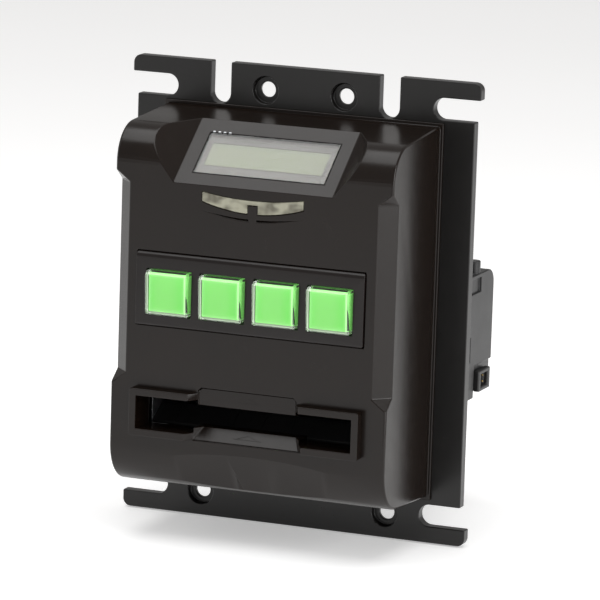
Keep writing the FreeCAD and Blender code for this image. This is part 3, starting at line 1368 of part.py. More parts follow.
def make_screws():
    """Screws that hold the cover, the housing and the chassis to the plate."""
    cover_set = [screw(f"cover_screw_{i}", "Y", at, zero, cover_screw_length, screw_radius,
                       screw_head, -1)
                 for i, at in enumerate(cover_bosses)]
    node("cover_screws", group_shape("Part::Compound", "cover_screw_set", cover_set))
    housing_set = [screw(f"housing_screw_{i}", "Y", at, flange_thick, housing_screw_length, screw_radius,
                         screw_head, -1)
                   for i, at in enumerate(housing_screws)]
    node("housing_screws", group_shape("Part::Compound", "housing_screw_set", housing_set))
    tab_face = plate_front - chassis_thick
    chassis_set = [screw(f"chassis_screw_{i}", "Y", at, tab_face, chassis_screw_length, small_screw,
                         small_head)
                   for i, at in enumerate(tab_screws)]
    node("chassis_screws", group_shape("Part::Compound", "chassis_screw_set", chassis_set))


# ---------------------------------------------------------------- build, check and write

make_plate()
make_cover()
make_display()
make_status_light()
make_button_panel()
for button_number, button_x in enumerate(button_places, start=1):
    make_button(button_number, button_x)
make_switches()
make_mouth()
make_shutter()
make_guides()
make_chassis()
make_rollers()
make_belt()
make_gear_train()
make_housing()
make_lid()
make_main_board()
make_screws()
doc.recompute()

for thing in doc.Objects:
    if "Invalid" in thing.State or "Error" in thing.State:
        raise RuntimeError(f"{thing.Label} did not compute: {thing.State}")
for part in parts:
    shape = part.Shape
    if shape.isNull() or not shape.isValid() or not shape.Solids:
        raise RuntimeError(f"{part.Label} has no valid solid")
    shape.exportStep(f"parts/{part.Label}.step")
    print(part.Label, len(shape.Solids), round(shape.Volume, 1))
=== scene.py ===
import json
import math

import bmesh
import bpy
from mathutils import Matrix, Vector


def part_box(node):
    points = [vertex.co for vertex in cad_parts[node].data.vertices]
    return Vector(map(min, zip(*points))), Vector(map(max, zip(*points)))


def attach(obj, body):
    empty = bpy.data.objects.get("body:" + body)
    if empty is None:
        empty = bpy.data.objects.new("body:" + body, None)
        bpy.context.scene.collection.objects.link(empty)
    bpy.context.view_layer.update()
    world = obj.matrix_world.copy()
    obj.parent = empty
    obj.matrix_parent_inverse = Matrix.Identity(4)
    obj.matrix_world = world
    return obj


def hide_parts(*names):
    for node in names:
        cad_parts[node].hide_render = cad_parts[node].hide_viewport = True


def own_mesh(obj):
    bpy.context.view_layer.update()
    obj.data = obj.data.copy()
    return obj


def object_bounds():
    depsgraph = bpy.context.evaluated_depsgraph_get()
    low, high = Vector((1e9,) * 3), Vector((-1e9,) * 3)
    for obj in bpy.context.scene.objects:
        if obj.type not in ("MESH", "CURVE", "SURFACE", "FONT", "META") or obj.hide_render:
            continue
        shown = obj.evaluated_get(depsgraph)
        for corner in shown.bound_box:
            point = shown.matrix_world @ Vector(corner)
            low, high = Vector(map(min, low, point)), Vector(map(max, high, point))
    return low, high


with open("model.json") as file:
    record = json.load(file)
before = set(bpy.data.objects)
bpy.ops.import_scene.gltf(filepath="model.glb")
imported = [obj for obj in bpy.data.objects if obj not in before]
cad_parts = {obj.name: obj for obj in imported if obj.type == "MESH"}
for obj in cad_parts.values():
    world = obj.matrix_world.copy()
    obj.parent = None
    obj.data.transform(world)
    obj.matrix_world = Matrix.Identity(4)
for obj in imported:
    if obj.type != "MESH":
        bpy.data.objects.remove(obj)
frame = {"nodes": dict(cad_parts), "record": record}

CAD_LOW, CAD_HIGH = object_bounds()
MM = 0.001
NODES = frame["nodes"]
BODY_OF = {node: body for body, nodes in frame["record"]["behaviour"]["bodies"].items() for node in nodes}
SLOT_OF = {part["node"]: part["material_slot"] for part in frame["record"]["subparts"]}
FINISHES = {}
DISPLAY_TILT = math.radians(38.2)
ROLLER_SPREAD = 26 * MM
ROLLER_HALF = 5 * MM
LENS_HALF = 20 * MM
BUTTON_PITCH = 21.36 * MM


# ------------------------------------------------------------------ shader arithmetic

class Signal:
    """One output of a shader node, which Python's own operators work on."""

    def __init__(self, paint, socket):
        self.paint = paint
        self.socket = socket

    def maths(self, operation, first, second=0.0):
        """A Math node on two signals or numbers."""
        return self.paint.node("ShaderNodeMath", {"operation": operation}, {0: first, 1: second})

    def __add__(self, other):
        return self.maths("ADD", self, other)

    def __radd__(self, other):
        return self.maths("ADD", other, self)

    def __sub__(self, other):
        return self.maths("SUBTRACT", self, other)

    def __rsub__(self, other):
        return self.maths("SUBTRACT", other, self)

    def __mul__(self, other):
        return self.maths("MULTIPLY", self, other)

    def __rmul__(self, other):
        return self.maths("MULTIPLY", other, self)

    def __truediv__(self, other):
        return self.maths("DIVIDE", self, other)

    def __gt__(self, other):
        return self.maths("GREATER_THAN", self, other)

    def __lt__(self, other):
        return self.maths("LESS_THAN", self, other)

    def __abs__(self):
        return self.maths("ABSOLUTE", self)

    def fraction(self):
        """What is left after the whole number."""
        return self.maths("FRACT", self)

    def least(self, other):
        """The smaller of two signals."""
        return self.maths("MINIMUM", self, other)

    def most(self, other):
        """The larger of two signals."""
        return self.maths("MAXIMUM", self, other)


class Paint:
    """A material on one Principled shader, with the nodes that vary it over a surface."""

    def __init__(self, name, colour, roughness, **constants):
        self.material = bpy.data.materials.new(name)
        self.material.use_nodes = True
        self.tree = self.material.node_tree
        self.shader = self.tree.nodes["Principled BSDF"]
        self.colour = colour
        self.roughness = roughness
        self.set("Base Color", (*colour, 1))
        self.set("Roughness", roughness)
        for words, value in constants.items():
            self.set(words.replace("_", " "), value)
        self.spot = self.node("ShaderNodeTexCoord", {}, {}, "Object")

    def set(self, words, value):
        """Feed one socket of the shader by a signal or a fixed value."""
        self.feed(self.shader.inputs[words], value)

    def feed(self, socket, value):
        """Link a signal to a socket, or store a plain value in it."""
        if isinstance(value, Signal):
            self.tree.links.new(value.socket, socket)
        else:
            socket.default_value = value

    def node(self, kind, settings, inputs, output=0):
        """Any node, from its type, its settings, its inputs and the output wanted."""
        made = self.tree.nodes.new(kind)
        for words, value in settings.items():
            if words == "stops":
                ramp = made.color_ramp
                for place, colour in value[len(ramp.elements):]:
                    ramp.elements.new(place)
                for element, (place, colour) in zip(ramp.elements, value):
                    element.position = place
                    element.color = colour
            else:
                setattr(made, words, value)
        for words, value in inputs.items():
            self.feed(made.inputs[words], value)
        return Signal(self, made.outputs[output])

    def noise(self, size, detail=2.0, stretch=(1, 1, 1), rough=0.5):
        """Cloudy noise whose blobs are a size in millimetres, longer along a stretched axis."""
        where = self.node("ShaderNodeMapping", {}, {"Vector": self.spot,
                                                    "Scale": tuple(1 / s for s in stretch)})
        return self.node("ShaderNodeTexNoise", {}, {"Vector": where, "Scale": 1 / (size * MM),
                                                    "Detail": detail, "Roughness": rough})

    def axes(self):
        """The three object coordinates, in metres."""
        return [self.node("ShaderNodeSeparateXYZ", {}, {"Vector": self.spot}, axis) for axis in "XYZ"]

    def ramp(self, signal, low, high):
        """A signal that goes from 0 to 1 between two levels."""
        return self.node("ShaderNodeMapRange", {}, {"Value": signal, "From Min": low, "From Max": high})

    def mix(self, mask, first, second):
        """A colour between two, by a mask."""
        made = self.tree.nodes.new("ShaderNodeMix")
        made.data_type = "RGBA"
        self.feed(made.inputs["Factor"], mask)
        for socket, value in ((made.inputs[6], first), (made.inputs[7], second)):
            self.feed(socket, value if isinstance(value, Signal) else (*value, 1))
        return Signal(self, made.outputs[2])

    def relief(self, height, depth, strength=1.0):
        """Bump the surface by a height signal; depth is in millimetres."""
        bump = self.node("ShaderNodeBump", {}, {"Height": height, "Distance": depth * MM,
                                                "Strength": strength})
        self.set("Normal", bump)


def shaded(colour, factor):
    """A colour made lighter or darker."""
    return tuple(min(1.0, channel * factor) for channel in colour)


def moulded(name, colour, roughness, grain=0.35, depth=0.012, rub=0.10, **constants):
    """Moulded plastic: a fine spark-eroded grain, faint flow marks and handled patches."""
    paint = Paint(name, colour, roughness, **constants)
    flow = paint.noise(26, 3, (1, 1, 2.6))
    haze = paint.noise(7, 4, rough=0.6)
    speck = paint.noise(grain, 2)
    tone = paint.mix(paint.ramp(flow, 0.3, 0.7), shaded(colour, 0.88), shaded(colour, 1.12))
    dust = paint.ramp(haze * speck, 0.36, 0.52) * 0.05
    paint.set("Base Color", paint.mix(dust, tone, (0.20, 0.19, 0.18)))
    paint.set("Roughness", roughness + (haze - 0.5) * rub + (speck - 0.5) * 0.06)
    paint.relief(speck + paint.noise(grain * 3.1, 1) * 0.5, depth, 0.35)
    return paint


def brushed(name, colour, roughness, along, scratch=0.06):
    """Metal with a drawn or rolled grain along one axis and a few longer scratches."""
    paint = Paint(name, colour, roughness, Metallic=1.0)
    stretch = tuple(60 if axis == along else 1 for axis in "XYZ")
    streak = paint.noise(0.28, 3, stretch)
    cloud = paint.noise(9, 4)
    deep = paint.ramp(paint.noise(0.9, 5, stretch, 0.7), 0.62, 0.70)
    tone = paint.mix(cloud, shaded(colour, 0.84), shaded(colour, 1.1))
    paint.set("Base Color", paint.mix(deep * 0.35, tone, shaded(colour, 0.6)))
    paint.set("Roughness", roughness + (streak - 0.5) * 0.22 + (cloud - 0.5) * 0.12)
    paint.relief(streak - deep * 0.8, scratch * 0.3, 0.4)
    return paint


def zinc_finish():
    """Zinc-plated sheet with a soft spangle."""
    paint = Paint("zinc_sheet", (0.50, 0.51, 0.52), 0.36, Metallic=1.0)
    crystal = paint.node("ShaderNodeTexVoronoi", {"feature": "F1"},
                         {"Vector": paint.spot, "Scale": 1 / (3.2 * MM), "Randomness": 1.0}, "Color")
    flake = paint.node("ShaderNodeSeparateColor", {}, {"Color": crystal}, "Red")
    film = paint.noise(14, 4)
    tone = paint.mix(flake, (0.43, 0.44, 0.46), (0.58, 0.59, 0.60))
    paint.set("Base Color", paint.mix(paint.ramp(film, 0.55, 0.75) * 0.4, tone, (0.62, 0.60, 0.52)))
    paint.set("Roughness", 0.30 + flake * 0.14 + film * 0.08)
    paint.relief(paint.noise(0.3, 3, (1, 12, 1)), 0.01, 0.4)
    return paint


def rubber_finish(name, colour):
    """Moulded rubber: dull, slightly porous and polished where it runs."""
    paint = Paint(name, colour, 0.72)
    pore = paint.noise(0.22, 3)
    worn = paint.ramp(paint.noise(5, 3), 0.45, 0.75)
    paint.set("Base Color", paint.mix(worn * 0.5, colour, shaded(colour, 2.1)))
    paint.set("Roughness", 0.78 - worn * 0.24 + (pore - 0.5) * 0.1)
    paint.relief(pore, 0.03, 0.6)
    return paint


def board_finish():
    """Solder mask over copper tracks, with rows of tinned pads."""
    paint = Paint("board_green", (0.02, 0.10, 0.04), 0.34)
    x, _, z = paint.axes()
    wander = paint.noise(16, 0)
    bars = abs(((x + wander * 0.006) / (1.27 * MM)).fraction() - 0.5)
    rows = abs(((z - wander * 0.005) / (1.9 * MM)).fraction() - 0.5)
    choose = paint.noise(9, 0) > 0.5
    track = (bars < 0.16) * choose + (rows < 0.14) * (1 - choose)
    pad = paint.node("ShaderNodeTexVoronoi", {"feature": "F1"},
                     {"Vector": paint.spot, "Scale": 1 / (3.4 * MM), "Randomness": 0.0}, "Distance")
    tinned = pad < 0.19
    masked = paint.mix(track, (0.018, 0.09, 0.035), (0.04, 0.19, 0.07))
    paint.set("Base Color", paint.mix(tinned, masked, (0.62, 0.60, 0.52)))
    paint.set("Metallic", tinned * 0.9)
    paint.set("Roughness", 0.32 + paint.noise(4, 3) * 0.12)
    paint.relief(track * 0.5 + tinned, 0.04, 0.6)
    return paint


def display_axes(paint):
    """Coordinates across and down the tilted display, from its middle, in metres."""
    low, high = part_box("display_glass")
    middle = (low + high) / 2
    x, y, z = paint.axes()
    across = x - middle.x
    down = (y - middle.y) * math.cos(DISPLAY_TILT) + (z - middle.z) * math.sin(DISPLAY_TILT)
    return across, down


def crystal_finish():
    """A backlit liquid crystal pane: two rows of resting character cells of fine dots, with a painted
    shadow darkening its upper edge.
    """
    paint = Paint("display_green", (0.40, 0.47, 0.31), 0.24, Emission_Strength=0.06)
    across, down = display_axes(paint)
    column = (across / (2.75 * MM) + 0.5).fraction()
    row = (down / (4.9 * MM)).fraction()
    cell = (abs(column - 0.5) < 0.41) * (abs(row - 0.5) < 0.43)
    inside = (abs(across) < 22.0 * MM) * (abs(down) < 4.9 * MM)
    dots = (abs((across / (0.45 * MM)).fraction() - 0.5) < 0.40) * (
        abs((down / (0.52 * MM)).fraction() - 0.5) < 0.40)
    mask = cell * inside * (0.45 + dots * 0.55)
    glow = paint.ramp(abs(across) + paint.noise(18, 1) * 0.012, 0.0, 0.034)
    back = paint.mix(glow, (0.195, 0.250, 0.105), (0.200, 0.230, 0.110))
    # painted shadow: the pane is darker along its upper edge, in base colour and emission alike
    painted_top_shadow = paint.ramp(down, 3.6 * MM, 5.4 * MM) * 0.45
    back = paint.mix(painted_top_shadow, back, (0.12, 0.15, 0.09))
    tone = paint.mix(mask * 0.12, back, (0.16, 0.21, 0.12))
    paint.set("Base Color", tone)
    paint.set("Emission Color", tone)
    paint.set("Roughness", 0.20 + paint.noise(3, 2) * 0.06)
    return paint


def frame_finish():
    """The satin frame round the pane, with a printed inner line."""
    paint = Paint("display_metal", (0.36, 0.34, 0.33), 0.38)
    across, down = display_axes(paint)
    step = (abs(across) - 23.4 * MM).most(abs(down) - 5.65 * MM)
    line = paint.ramp(step, 1.1 * MM, 0.3 * MM)
    cloud = paint.noise(6, 3)
    tone = paint.mix(line, (0.100, 0.090, 0.074), (0.058, 0.052, 0.043))
    paint.set("Base Color", paint.mix(cloud * 0.3, tone, (0.085, 0.078, 0.066)))
    paint.set("Roughness", 0.34 + cloud * 0.14)
    paint.relief(paint.noise(0.3, 2), 0.01, 0.4)
    return paint


def clear_finish(name, colour, roughness, **constants):
    """Clear moulded plastic with fine handling marks."""
    paint = Paint(name, colour, roughness, Transmission_Weight=1.0, IOR=1.49, **constants)
    smear = paint.noise(8, 4, (1, 1, 2))
    hair = paint.ramp(paint.noise(0.5, 4, (14, 1, 1), 0.7), 0.62, 0.70)
    paint.set("Base Color", paint.mix(smear * 0.25, colour, shaded(colour, 0.93)))
    paint.set("Roughness", roughness + paint.ramp(smear, 0.5, 0.8) * 0.08 + hair * 0.1)
    paint.relief(hair, 0.004, 0.3)
    return paint


def button_axes(paint):
    """Coordinates across and up one button's face, from its middle, in metres."""
    low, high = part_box("button_1_cap")
    beside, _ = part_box("button_2_cap")
    pitch = beside.x - low.x
    x, y, z = paint.axes()
    across = ((x / pitch).fraction() - 0.5) * pitch
    return across, z - (low.z + high.z) / 2, (high - low) / 2, y - low.y


def insert_finish():
    """The lit coloured insert: bright over its light source, deeper towards its sides, and paler in a
    painted highlight along its rim.
    """
    paint = Paint("insert_green", (0.18, 0.80, 0.10), 0.35, Emission_Strength=0.36)
    across, up, half, _ = button_axes(paint)
    bright = paint.ramp(abs(across + 0.8 * MM), 7.0 * MM, 3.0 * MM) * 0.8
    # painted highlight: a paler band along the insert's rim, in base colour and emission alike
    edge = paint.ramp((abs(across) - half.x).most(abs(up) - half.z), -3.0 * MM, -1.3 * MM)
    tone = paint.mix(bright, (0.17, 0.84, 0.09), (0.27, 0.86, 0.16))
    tone = paint.mix(edge * 0.6, tone, (0.40, 0.92, 0.30))
    paint.set("Base Color", tone)
    paint.set("Emission Color", tone)
    paint.set("Roughness", 0.30 + paint.noise(2, 3) * 0.15)
    paint.relief(paint.noise(0.6, 2), 0.02, 0.5)
    return paint


def cap_finish():
    """The clear cap, with a painted glow along the edge of its face, standing in for light caught there.
    """
    paint = Paint("cap_clear", (0.93, 0.98, 0.93), 0.06, Transmission_Weight=1.0, IOR=1.47,
                  Emission_Strength=0.40)
    across, up, half, back = button_axes(paint)
    rim = (abs(across) - half.x).most(abs(up) - half.z)
    # painted highlight: an emissive band just inside the edge of the cap's front face
    painted_edge_glow = paint.ramp(rim, -1.55 * MM, -1.15 * MM) * paint.ramp(rim, -0.45 * MM, -0.75 * MM)
    front = paint.ramp(back, 2.3 * MM, 1.6 * MM)
    paint.set("Emission Color", paint.mix(painted_edge_glow * front, (0, 0, 0), (0.72, 1.0, 0.62)))
    paint.set("Roughness", 0.05 + paint.noise(5, 3) * 0.06)
    paint.relief(paint.noise(0.9, 2), 0.006, 0.3)
    return paint


def lens_finish():
    """The yellowed clear lens, softly fluted, with paler patches placed by noise that shine as a painted
    glow, and painted light bands along its flutes.
    """
    paint = Paint("lens_clear", (0.50, 0.51, 0.38), 0.16, Transmission_Weight=0.2, IOR=1.49,
                  Emission_Strength=0.10)
    x = paint.axes()[0]
    flute = abs((x / (2.3 * MM)).fraction() - 0.5) * 2
    block = paint.noise(4.2, 1, (1.5, 1, 0.8))
    # painted glow: patches placed by noise, paler in base colour and lit by emission
    painted_glow_patch = paint.ramp(block, 0.40, 0.62)
    tone = paint.mix(painted_glow_patch, (0.14, 0.13, 0.095), (0.34, 0.33, 0.25))
    # painted highlight: faint paler bands along the flute edges
    paint.set("Base Color", paint.mix(flute * 0.10, tone, (0.50, 0.50, 0.40)))
    paint.set("Emission Color", paint.mix(painted_glow_patch, (0.05, 0.05, 0.03), (0.6, 0.6, 0.46)))
    paint.set("Roughness", 0.12 + block * 0.12)
    paint.relief(flute * 0.6 + block, 0.05, 0.4)
    return paint


def make_finishes():
    """Every finish, by the slot it fills."""
    made = {
        "cover_black": moulded("cover_black", (0.0066, 0.0036, 0.0022), 0.24, Specular_IOR_Level=0.32),
        "plate_black": moulded("plate_black", (0.0050, 0.0044, 0.0040), 0.30, grain=0.5,
                               Specular_IOR_Level=0.42),
        "panel_black": moulded("panel_black", (0.0068, 0.0042, 0.0036), 0.30, grain=0.25,
                               Specular_IOR_Level=0.36),
        "housing_grey": moulded("housing_grey", (0.0125, 0.0125, 0.013), 0.42, grain=0.45, depth=0.02),
        "mechanism_black": moulded("mechanism_black", (0.010, 0.010, 0.0105), 0.38),
        "component_black": moulded("component_black", (0.018, 0.018, 0.020), 0.48, grain=0.2),
        "acetal_white": moulded("acetal_white", (0.72, 0.71, 0.66), 0.34, grain=0.4, rub=0.06,
                                Subsurface_Weight=0.1, Subsurface_Scale=0.002),
        "emitter": moulded("emitter", (0.78, 0.74, 0.52), 0.25, grain=0.2, rub=0.05,
                           Subsurface_Weight=0.2, Subsurface_Scale=0.001),
        "screw_black": brushed("screw_black", (0.09, 0.09, 0.10), 0.36, "Y"),
        "spring_steel": brushed("spring_steel", (0.60, 0.60, 0.61), 0.26, "Y"),
        "ground_steel": brushed("ground_steel", (0.58, 0.58, 0.59), 0.20, "Y"),
        "contact_gold": brushed("contact_gold", (0.78, 0.56, 0.22), 0.24, "Y"),
        "zinc_sheet": zinc_finish(),
        "roller_rubber": rubber_finish("roller_rubber", (0.030, 0.030, 0.032)),
        "belt_rubber": rubber_finish("belt_rubber", (0.018, 0.018, 0.019)),
        "board_green": board_finish(),
        "display_green": crystal_finish(),
        "display_metal": frame_finish(),
        "clear_window": clear_finish("clear_window", (0.93, 0.93, 0.91), 0.05),
        "cap_clear": cap_finish(),
        "insert_green": insert_finish(),
        "lens_clear": lens_finish(),
    }
    FINISHES.update({slot: paint.material for slot, paint in made.items()})


# ------------------------------------------------------------------ camera, light and floor

def make_camera():
    """A long lens a little to the right of the front and a little above it."""
    azimuth, elevation, roll = map(math.radians, (21.439, 10.907, 1.831))
    distance = 1813.6 * MM
    aim = Vector((0.8, -4.5, -0.14)) * MM
    right = Vector((math.cos(azimuth), math.sin(azimuth), 0))
    back = Vector((math.sin(azimuth) * math.cos(elevation), -math.cos(azimuth) * math.cos(elevation),
                   math.sin(elevation)))
    up = back.cross(right)
    side = right * math.cos(roll) + up * math.sin(roll)
    top = up * math.cos(roll) - right * math.sin(roll)
    data = bpy.data.cameras.new("studio_camera")
    data.sensor_width = 36
    data.lens = 288.33
    data.clip_end = 50
    camera = bpy.data.objects.new("studio_camera", data)
    turn = Matrix((side, top, back)).transposed().to_4x4()
    camera.matrix_world = Matrix.Translation(aim + back * distance) @ turn
    bpy.context.scene.collection.objects.link(camera)
    bpy.context.scene.camera = camera


def area_light(name, place, aim, size, power, colour=(1, 1, 1)):
    """A soft box at a place, turned to face a point."""
    data = bpy.data.lights.new(name, "AREA")
    data.shape = "RECTANGLE"
    data.size, data.size_y = size
    data.energy = power
    data.color = colour
    lamp = bpy.data.objects.new(name, data)
    lamp.location = place
    lamp.rotation_euler = (Vector(aim) - Vector(place)).to_track_quat("-Z", "Y").to_euler()
    bpy.context.scene.collection.objects.link(lamp)


def make_surround():
    """A pale surround: white where the camera sees it, softer where it lights the object."""
    world = bpy.data.worlds.new("studio_surround")
    world.use_nodes = True
    bpy.context.scene.world = world
    tree = world.node_tree
    seen = tree.nodes["Background"]
    seen.inputs["Color"].default_value = (1, 1, 1, 1)
    seen.inputs["Strength"].default_value = 1.0
    lit = tree.nodes.new("ShaderNodeBackground")
    lit.inputs["Color"].default_value = (1.0, 0.985, 0.97, 1)
    lit.inputs["Strength"].default_value = 0.40
    path = tree.nodes.new("ShaderNodeLightPath")
    both = tree.nodes.new("ShaderNodeMixShader")
    tree.links.new(path.outputs["Is Camera Ray"], both.inputs["Fac"])
    tree.links.new(lit.outputs["Background"], both.inputs[1])
    tree.links.new(seen.outputs["Background"], both.inputs[2])
    tree.links.new(both.outputs["Shader"], tree.nodes["World Output"].inputs["Surface"])


def make_studio():
    """Soft boxes, a pale surround and a pale floor under the plate."""
    bpy.context.scene.view_settings.view_transform = "Standard"
    area_light("top_box", (0.0, -0.20, 1.1), (0, -0.02, 0.03), (1.3, 0.9), 10)
    area_light("left_box", (-1.3, -0.6, 0.5), (0, 0, 0), (0.7, 1.2), 4)
    area_light("right_box", (1.5, -0.35, 0.25), (0, 0, 0), (0.5, 1.3), 14)
    make_surround()
    floor_shape = bmesh.new()
    bmesh.ops.create_grid(floor_shape, x_segments=1, y_segments=1, size=6)
    bmesh.ops.translate(floor_shape, verts=floor_shape.verts, vec=(0, 0, CAD_LOW[2] - 0.5 * MM))
    floor = make_object("studio_floor", floor_shape)
    paint = Paint("studio_floor_paint", (0.94, 0.94, 0.94), 0.55)
    paint.set("Base Color", paint.mix(paint.noise(220, 2), (0.93, 0.93, 0.93), (0.96, 0.96, 0.96)))
    paint.set("Emission Color", (1, 1, 1, 1))
    paint.set("Emission Strength", 0.36)
    floor.data.materials.append(paint.material)


# ------------------------------------------------------------------ building blocks

def make_object(name, shape, crease=24):
    """A finished object from a bmesh, shaded smooth up to a crease angle in degrees."""
    mesh = bpy.data.meshes.new(name)
    shape.to_mesh(mesh)
    shape.free()
    mesh.shade_smooth()
    mesh.set_sharp_from_angle(angle=math.radians(crease))
    thing = bpy.data.objects.new(name, mesh)
    bpy.context.scene.collection.objects.link(thing)
    return thing


def break_edges(thing, width, segments=2):
    """Round a piece's hard edges by a width in millimetres."""
    modifier = thing.modifiers.new("edge_break", "BEVEL")
    modifier.width = width * MM
    modifier.segments = segments
    modifier.limit_method = "ANGLE"
    modifier.angle_limit = math.radians(32)
    modifier.use_clamp_overlap = False
    modifier.harden_normals = True


def fit_piece(thing, body, slot):
    """Put a finish on a piece and let it move with its body."""
    thing.data.materials.clear()
    thing.data.materials.append(FINISHES[slot])
    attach(thing, body)
    return thing


def softened(node, width, segments=2, crease=24):
    """A node's own shape, welded, with its hard edges broken."""
    shape = bmesh.new()
    shape.from_mesh(NODES[node].data)
    bmesh.ops.remove_doubles(shape, verts=shape.verts, dist=1e-6)
    bmesh.ops.dissolve_limit(shape, angle_limit=math.radians(0.04), verts=shape.verts,
                             edges=shape.edges)
    thing = make_object(f"{node}_finished", shape, crease)
    break_edges(thing, width, segments)
    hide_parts(node)
    return fit_piece(thing, BODY_OF[node], SLOT_OF[node])


def block(shape, low, high):
    """Add a block between two corners, in metres, and return its vertices."""
    low, high = Vector(low), Vector(high)
    size = Matrix.Diagonal((*(high - low), 1))
    made = bmesh.ops.create_cube(shape, size=1, matrix=Matrix.Translation((low + high) / 2) @ size)
    return made["verts"]


def turned(name, profile, y, z, steps=56):
    """A solid of revolution about an axis along X; profile holds (x, radius) in metres."""
    shape = bmesh.new()
    points = [shape.verts.new((x, y, z + radius)) for x, radius in profile]
    edges = [shape.edges.new((a, b)) for a, b in zip(points, points[1:] + points[:1])]
    bmesh.ops.spin(shape, geom=points + edges, cent=(0, y, z), axis=(1, 0, 0), angle=math.tau,
                   steps=steps, use_merge=True)
    bmesh.ops.remove_doubles(shape, verts=shape.verts, dist=1e-6)
    bmesh.ops.recalc_face_normals(shape, faces=shape.faces)
    return make_object(name, shape)


def joined(name, things):
    """One object from several of the same finish."""
    shape = bmesh.new()
    for thing in things:
        shape.from_mesh(thing.data)
        mesh = thing.data
        bpy.data.objects.remove(thing)
        bpy.data.meshes.remove(mesh)
    return make_object(name, shape)


# ------------------------------------------------------------------ front pieces

def make_front():
    """The plate, cover, mouth, button strip and windows with their edges broken."""
    softened("mounting_plate", 0.45, 3)
    softened("front_cover", 0.35, 3, 11)
    softened("mouth_bezel", 0.3, 3)
    softened("button_panel", 0.18, 2)
    softened("display_window", 0.2, 2)
    softened("display_frame", 0.15, 2)
    softened("display_glass", 0.1, 1)
    softened("status_lens", 0.25, 3)
    softened("socket_block", 0.7, 4)
    for number in range(1, 5):
        softened(f"button_{number}_cap", 0.7, 4)
        softened(f"button_{number}_insert", 0.4, 3)
        softened(f"button_{number}_plunger", 0.25, 2)


def make_tongue_arrows():
    """A faint raised arrow outline on each finger tongue of the mouth."""
    low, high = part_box("mouth_bezel")
    shape = bmesh.new()
    for height, depth, lean in ((high.z - 3.4 * MM, low.y + 5.16 * MM, 0),
                                (low.z + 2.3 * MM, low.y + 6.3 * MM, -42.4)):
        place = Matrix.Translation((0, depth, height)) @ Matrix.Rotation(math.radians(lean), 4, "X")
        front, back = [[shape.verts.new(place @ (Vector((x * scale, proud, z * scale)) * MM))
                        for scale in (1, 0.72) for x, z in ((-5.7, -0.8), (5.7, -0.8), (0, 1.3))]
                       for proud in (-0.12, 0.12)]
        for this in range(3):
            after = (this + 1) % 3
            for ring in (front, back):
                shape.faces.new((ring[this], ring[after], ring[after + 3], ring[this + 3]))
            for start in (0, 3):
                shape.faces.new((front[start + this], front[start + after],
                                 back[start + after], back[start + this]))
    bmesh.ops.recalc_face_normals(shape, faces=shape.faces)
    fit_piece(make_object("tongue_arrows", shape), "base", "cover_black")


def make_guide_ribs():
    """Thin runners on both guides, which a ticket slides over behind the mouth."""
    shape = bmesh.new()
    for node, side in (("lower_guide", 1), ("upper_guide", -1)):
        low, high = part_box(node)
        lip = low.z if side > 0 else high.z
        flat = high.z if side > 0 else low.z
        start, knee = low.y + 0.1 * MM, low.y + 9 * MM
        rise = (0.9 if side > 0 else -0.9) * MM
        for number in range(7):
            x = (number - 3) * 11.5 * MM
            if abs(abs(x) - ROLLER_SPREAD) < 6 * MM:
                continue
            verts = block(shape, (x - 0.4 * MM, start, 0), (x + 0.4 * MM, knee, 1))
            for vert in verts:
                inner = vert.co.y > (start + knee) / 2
                base = flat if inner else lip + rise
                proud = 0.28 * MM * side if vert.co.z > 0.5 else -0.2 * MM * side
                vert.co.z = base + proud
    bmesh.ops.recalc_face_normals(shape, faces=shape.faces)
    thing = make_object("guide_runners", shape)
    break_edges(thing, 0.08, 2)
    fit_piece(thing, "base", "mechanism_black")


def make_lens_inside():
    """Upright prisms behind the arched lens and a dome on each emitter."""
    low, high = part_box("status_lens")
    shape = bmesh.new()
    for number in range(15):
        x = (number - 7) * 2.5 * MM
        arch = (x / LENS_HALF) ** 2 * 2.2 * MM
        block(shape, (x - 0.35 * MM, high.y + 0.05 * MM, low.z + 1.2 * MM + arch),
              (x + 0.35 * MM, high.y + 0.75 * MM, low.z + 3.6 * MM + arch))
    prisms = make_object("lens_prisms", shape)
    break_edges(prisms, 0.12, 2)
    fit_piece(prisms, "base", "lens_clear")
    low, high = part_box("status_emitters")
    middle = (low.z + high.z) / 2
    shape = bmesh.new()
    for part in (-0.7, -0.3, 0.3, 0.7):
        flat = Matrix.Translation((part * LENS_HALF, low.y, middle)) @ Matrix.Diagonal((1, 0.55, 1, 1))
        bmesh.ops.create_icosphere(shape, subdivisions=3, radius=1.15 * MM, matrix=flat)
    fit_piece(make_object("emitter_domes", shape), "base", "emitter")
    softened("status_emitters", 0.15, 2)
    softened("status_light_board", 0.12, 1)


def make_display_tabs():
    """The bent metal tabs of the display that show above its window."""
    low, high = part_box("display_window")
    outward = Vector((0, -math.sin(DISPLAY_TILT), math.cos(DISPLAY_TILT)))
    uphill = Vector((0, math.cos(DISPLAY_TILT), math.sin(DISPLAY_TILT)))
    middle = (low + high) / 2 + outward * 0.6 * MM
    turn = Matrix.Rotation(DISPLAY_TILT, 4, "X")
    shape = bmesh.new()
    for number in range(4):
        at = middle + uphill * 10.75 * MM + outward * 0.02 * MM
        at.x = (-24.6 + number * 2.1) * MM
        size = Matrix.Diagonal((1.0 * MM, 0.55 * MM, 0.24 * MM, 1))
        bmesh.ops.create_cube(shape, size=1, matrix=Matrix.Translation(at) @ turn @ size)
    thing = make_object("display_tabs", shape)
    break_edges(thing, 0.06, 2)
    fit_piece(thing, "base", "zinc_sheet")


# ------------------------------------------------------------------ transport pieces

def node_axis(node):
    """The middle of a node's box, and its half height, in metres."""
    low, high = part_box(node)
    return (low + high) / 2, (high.z - low.z) / 2


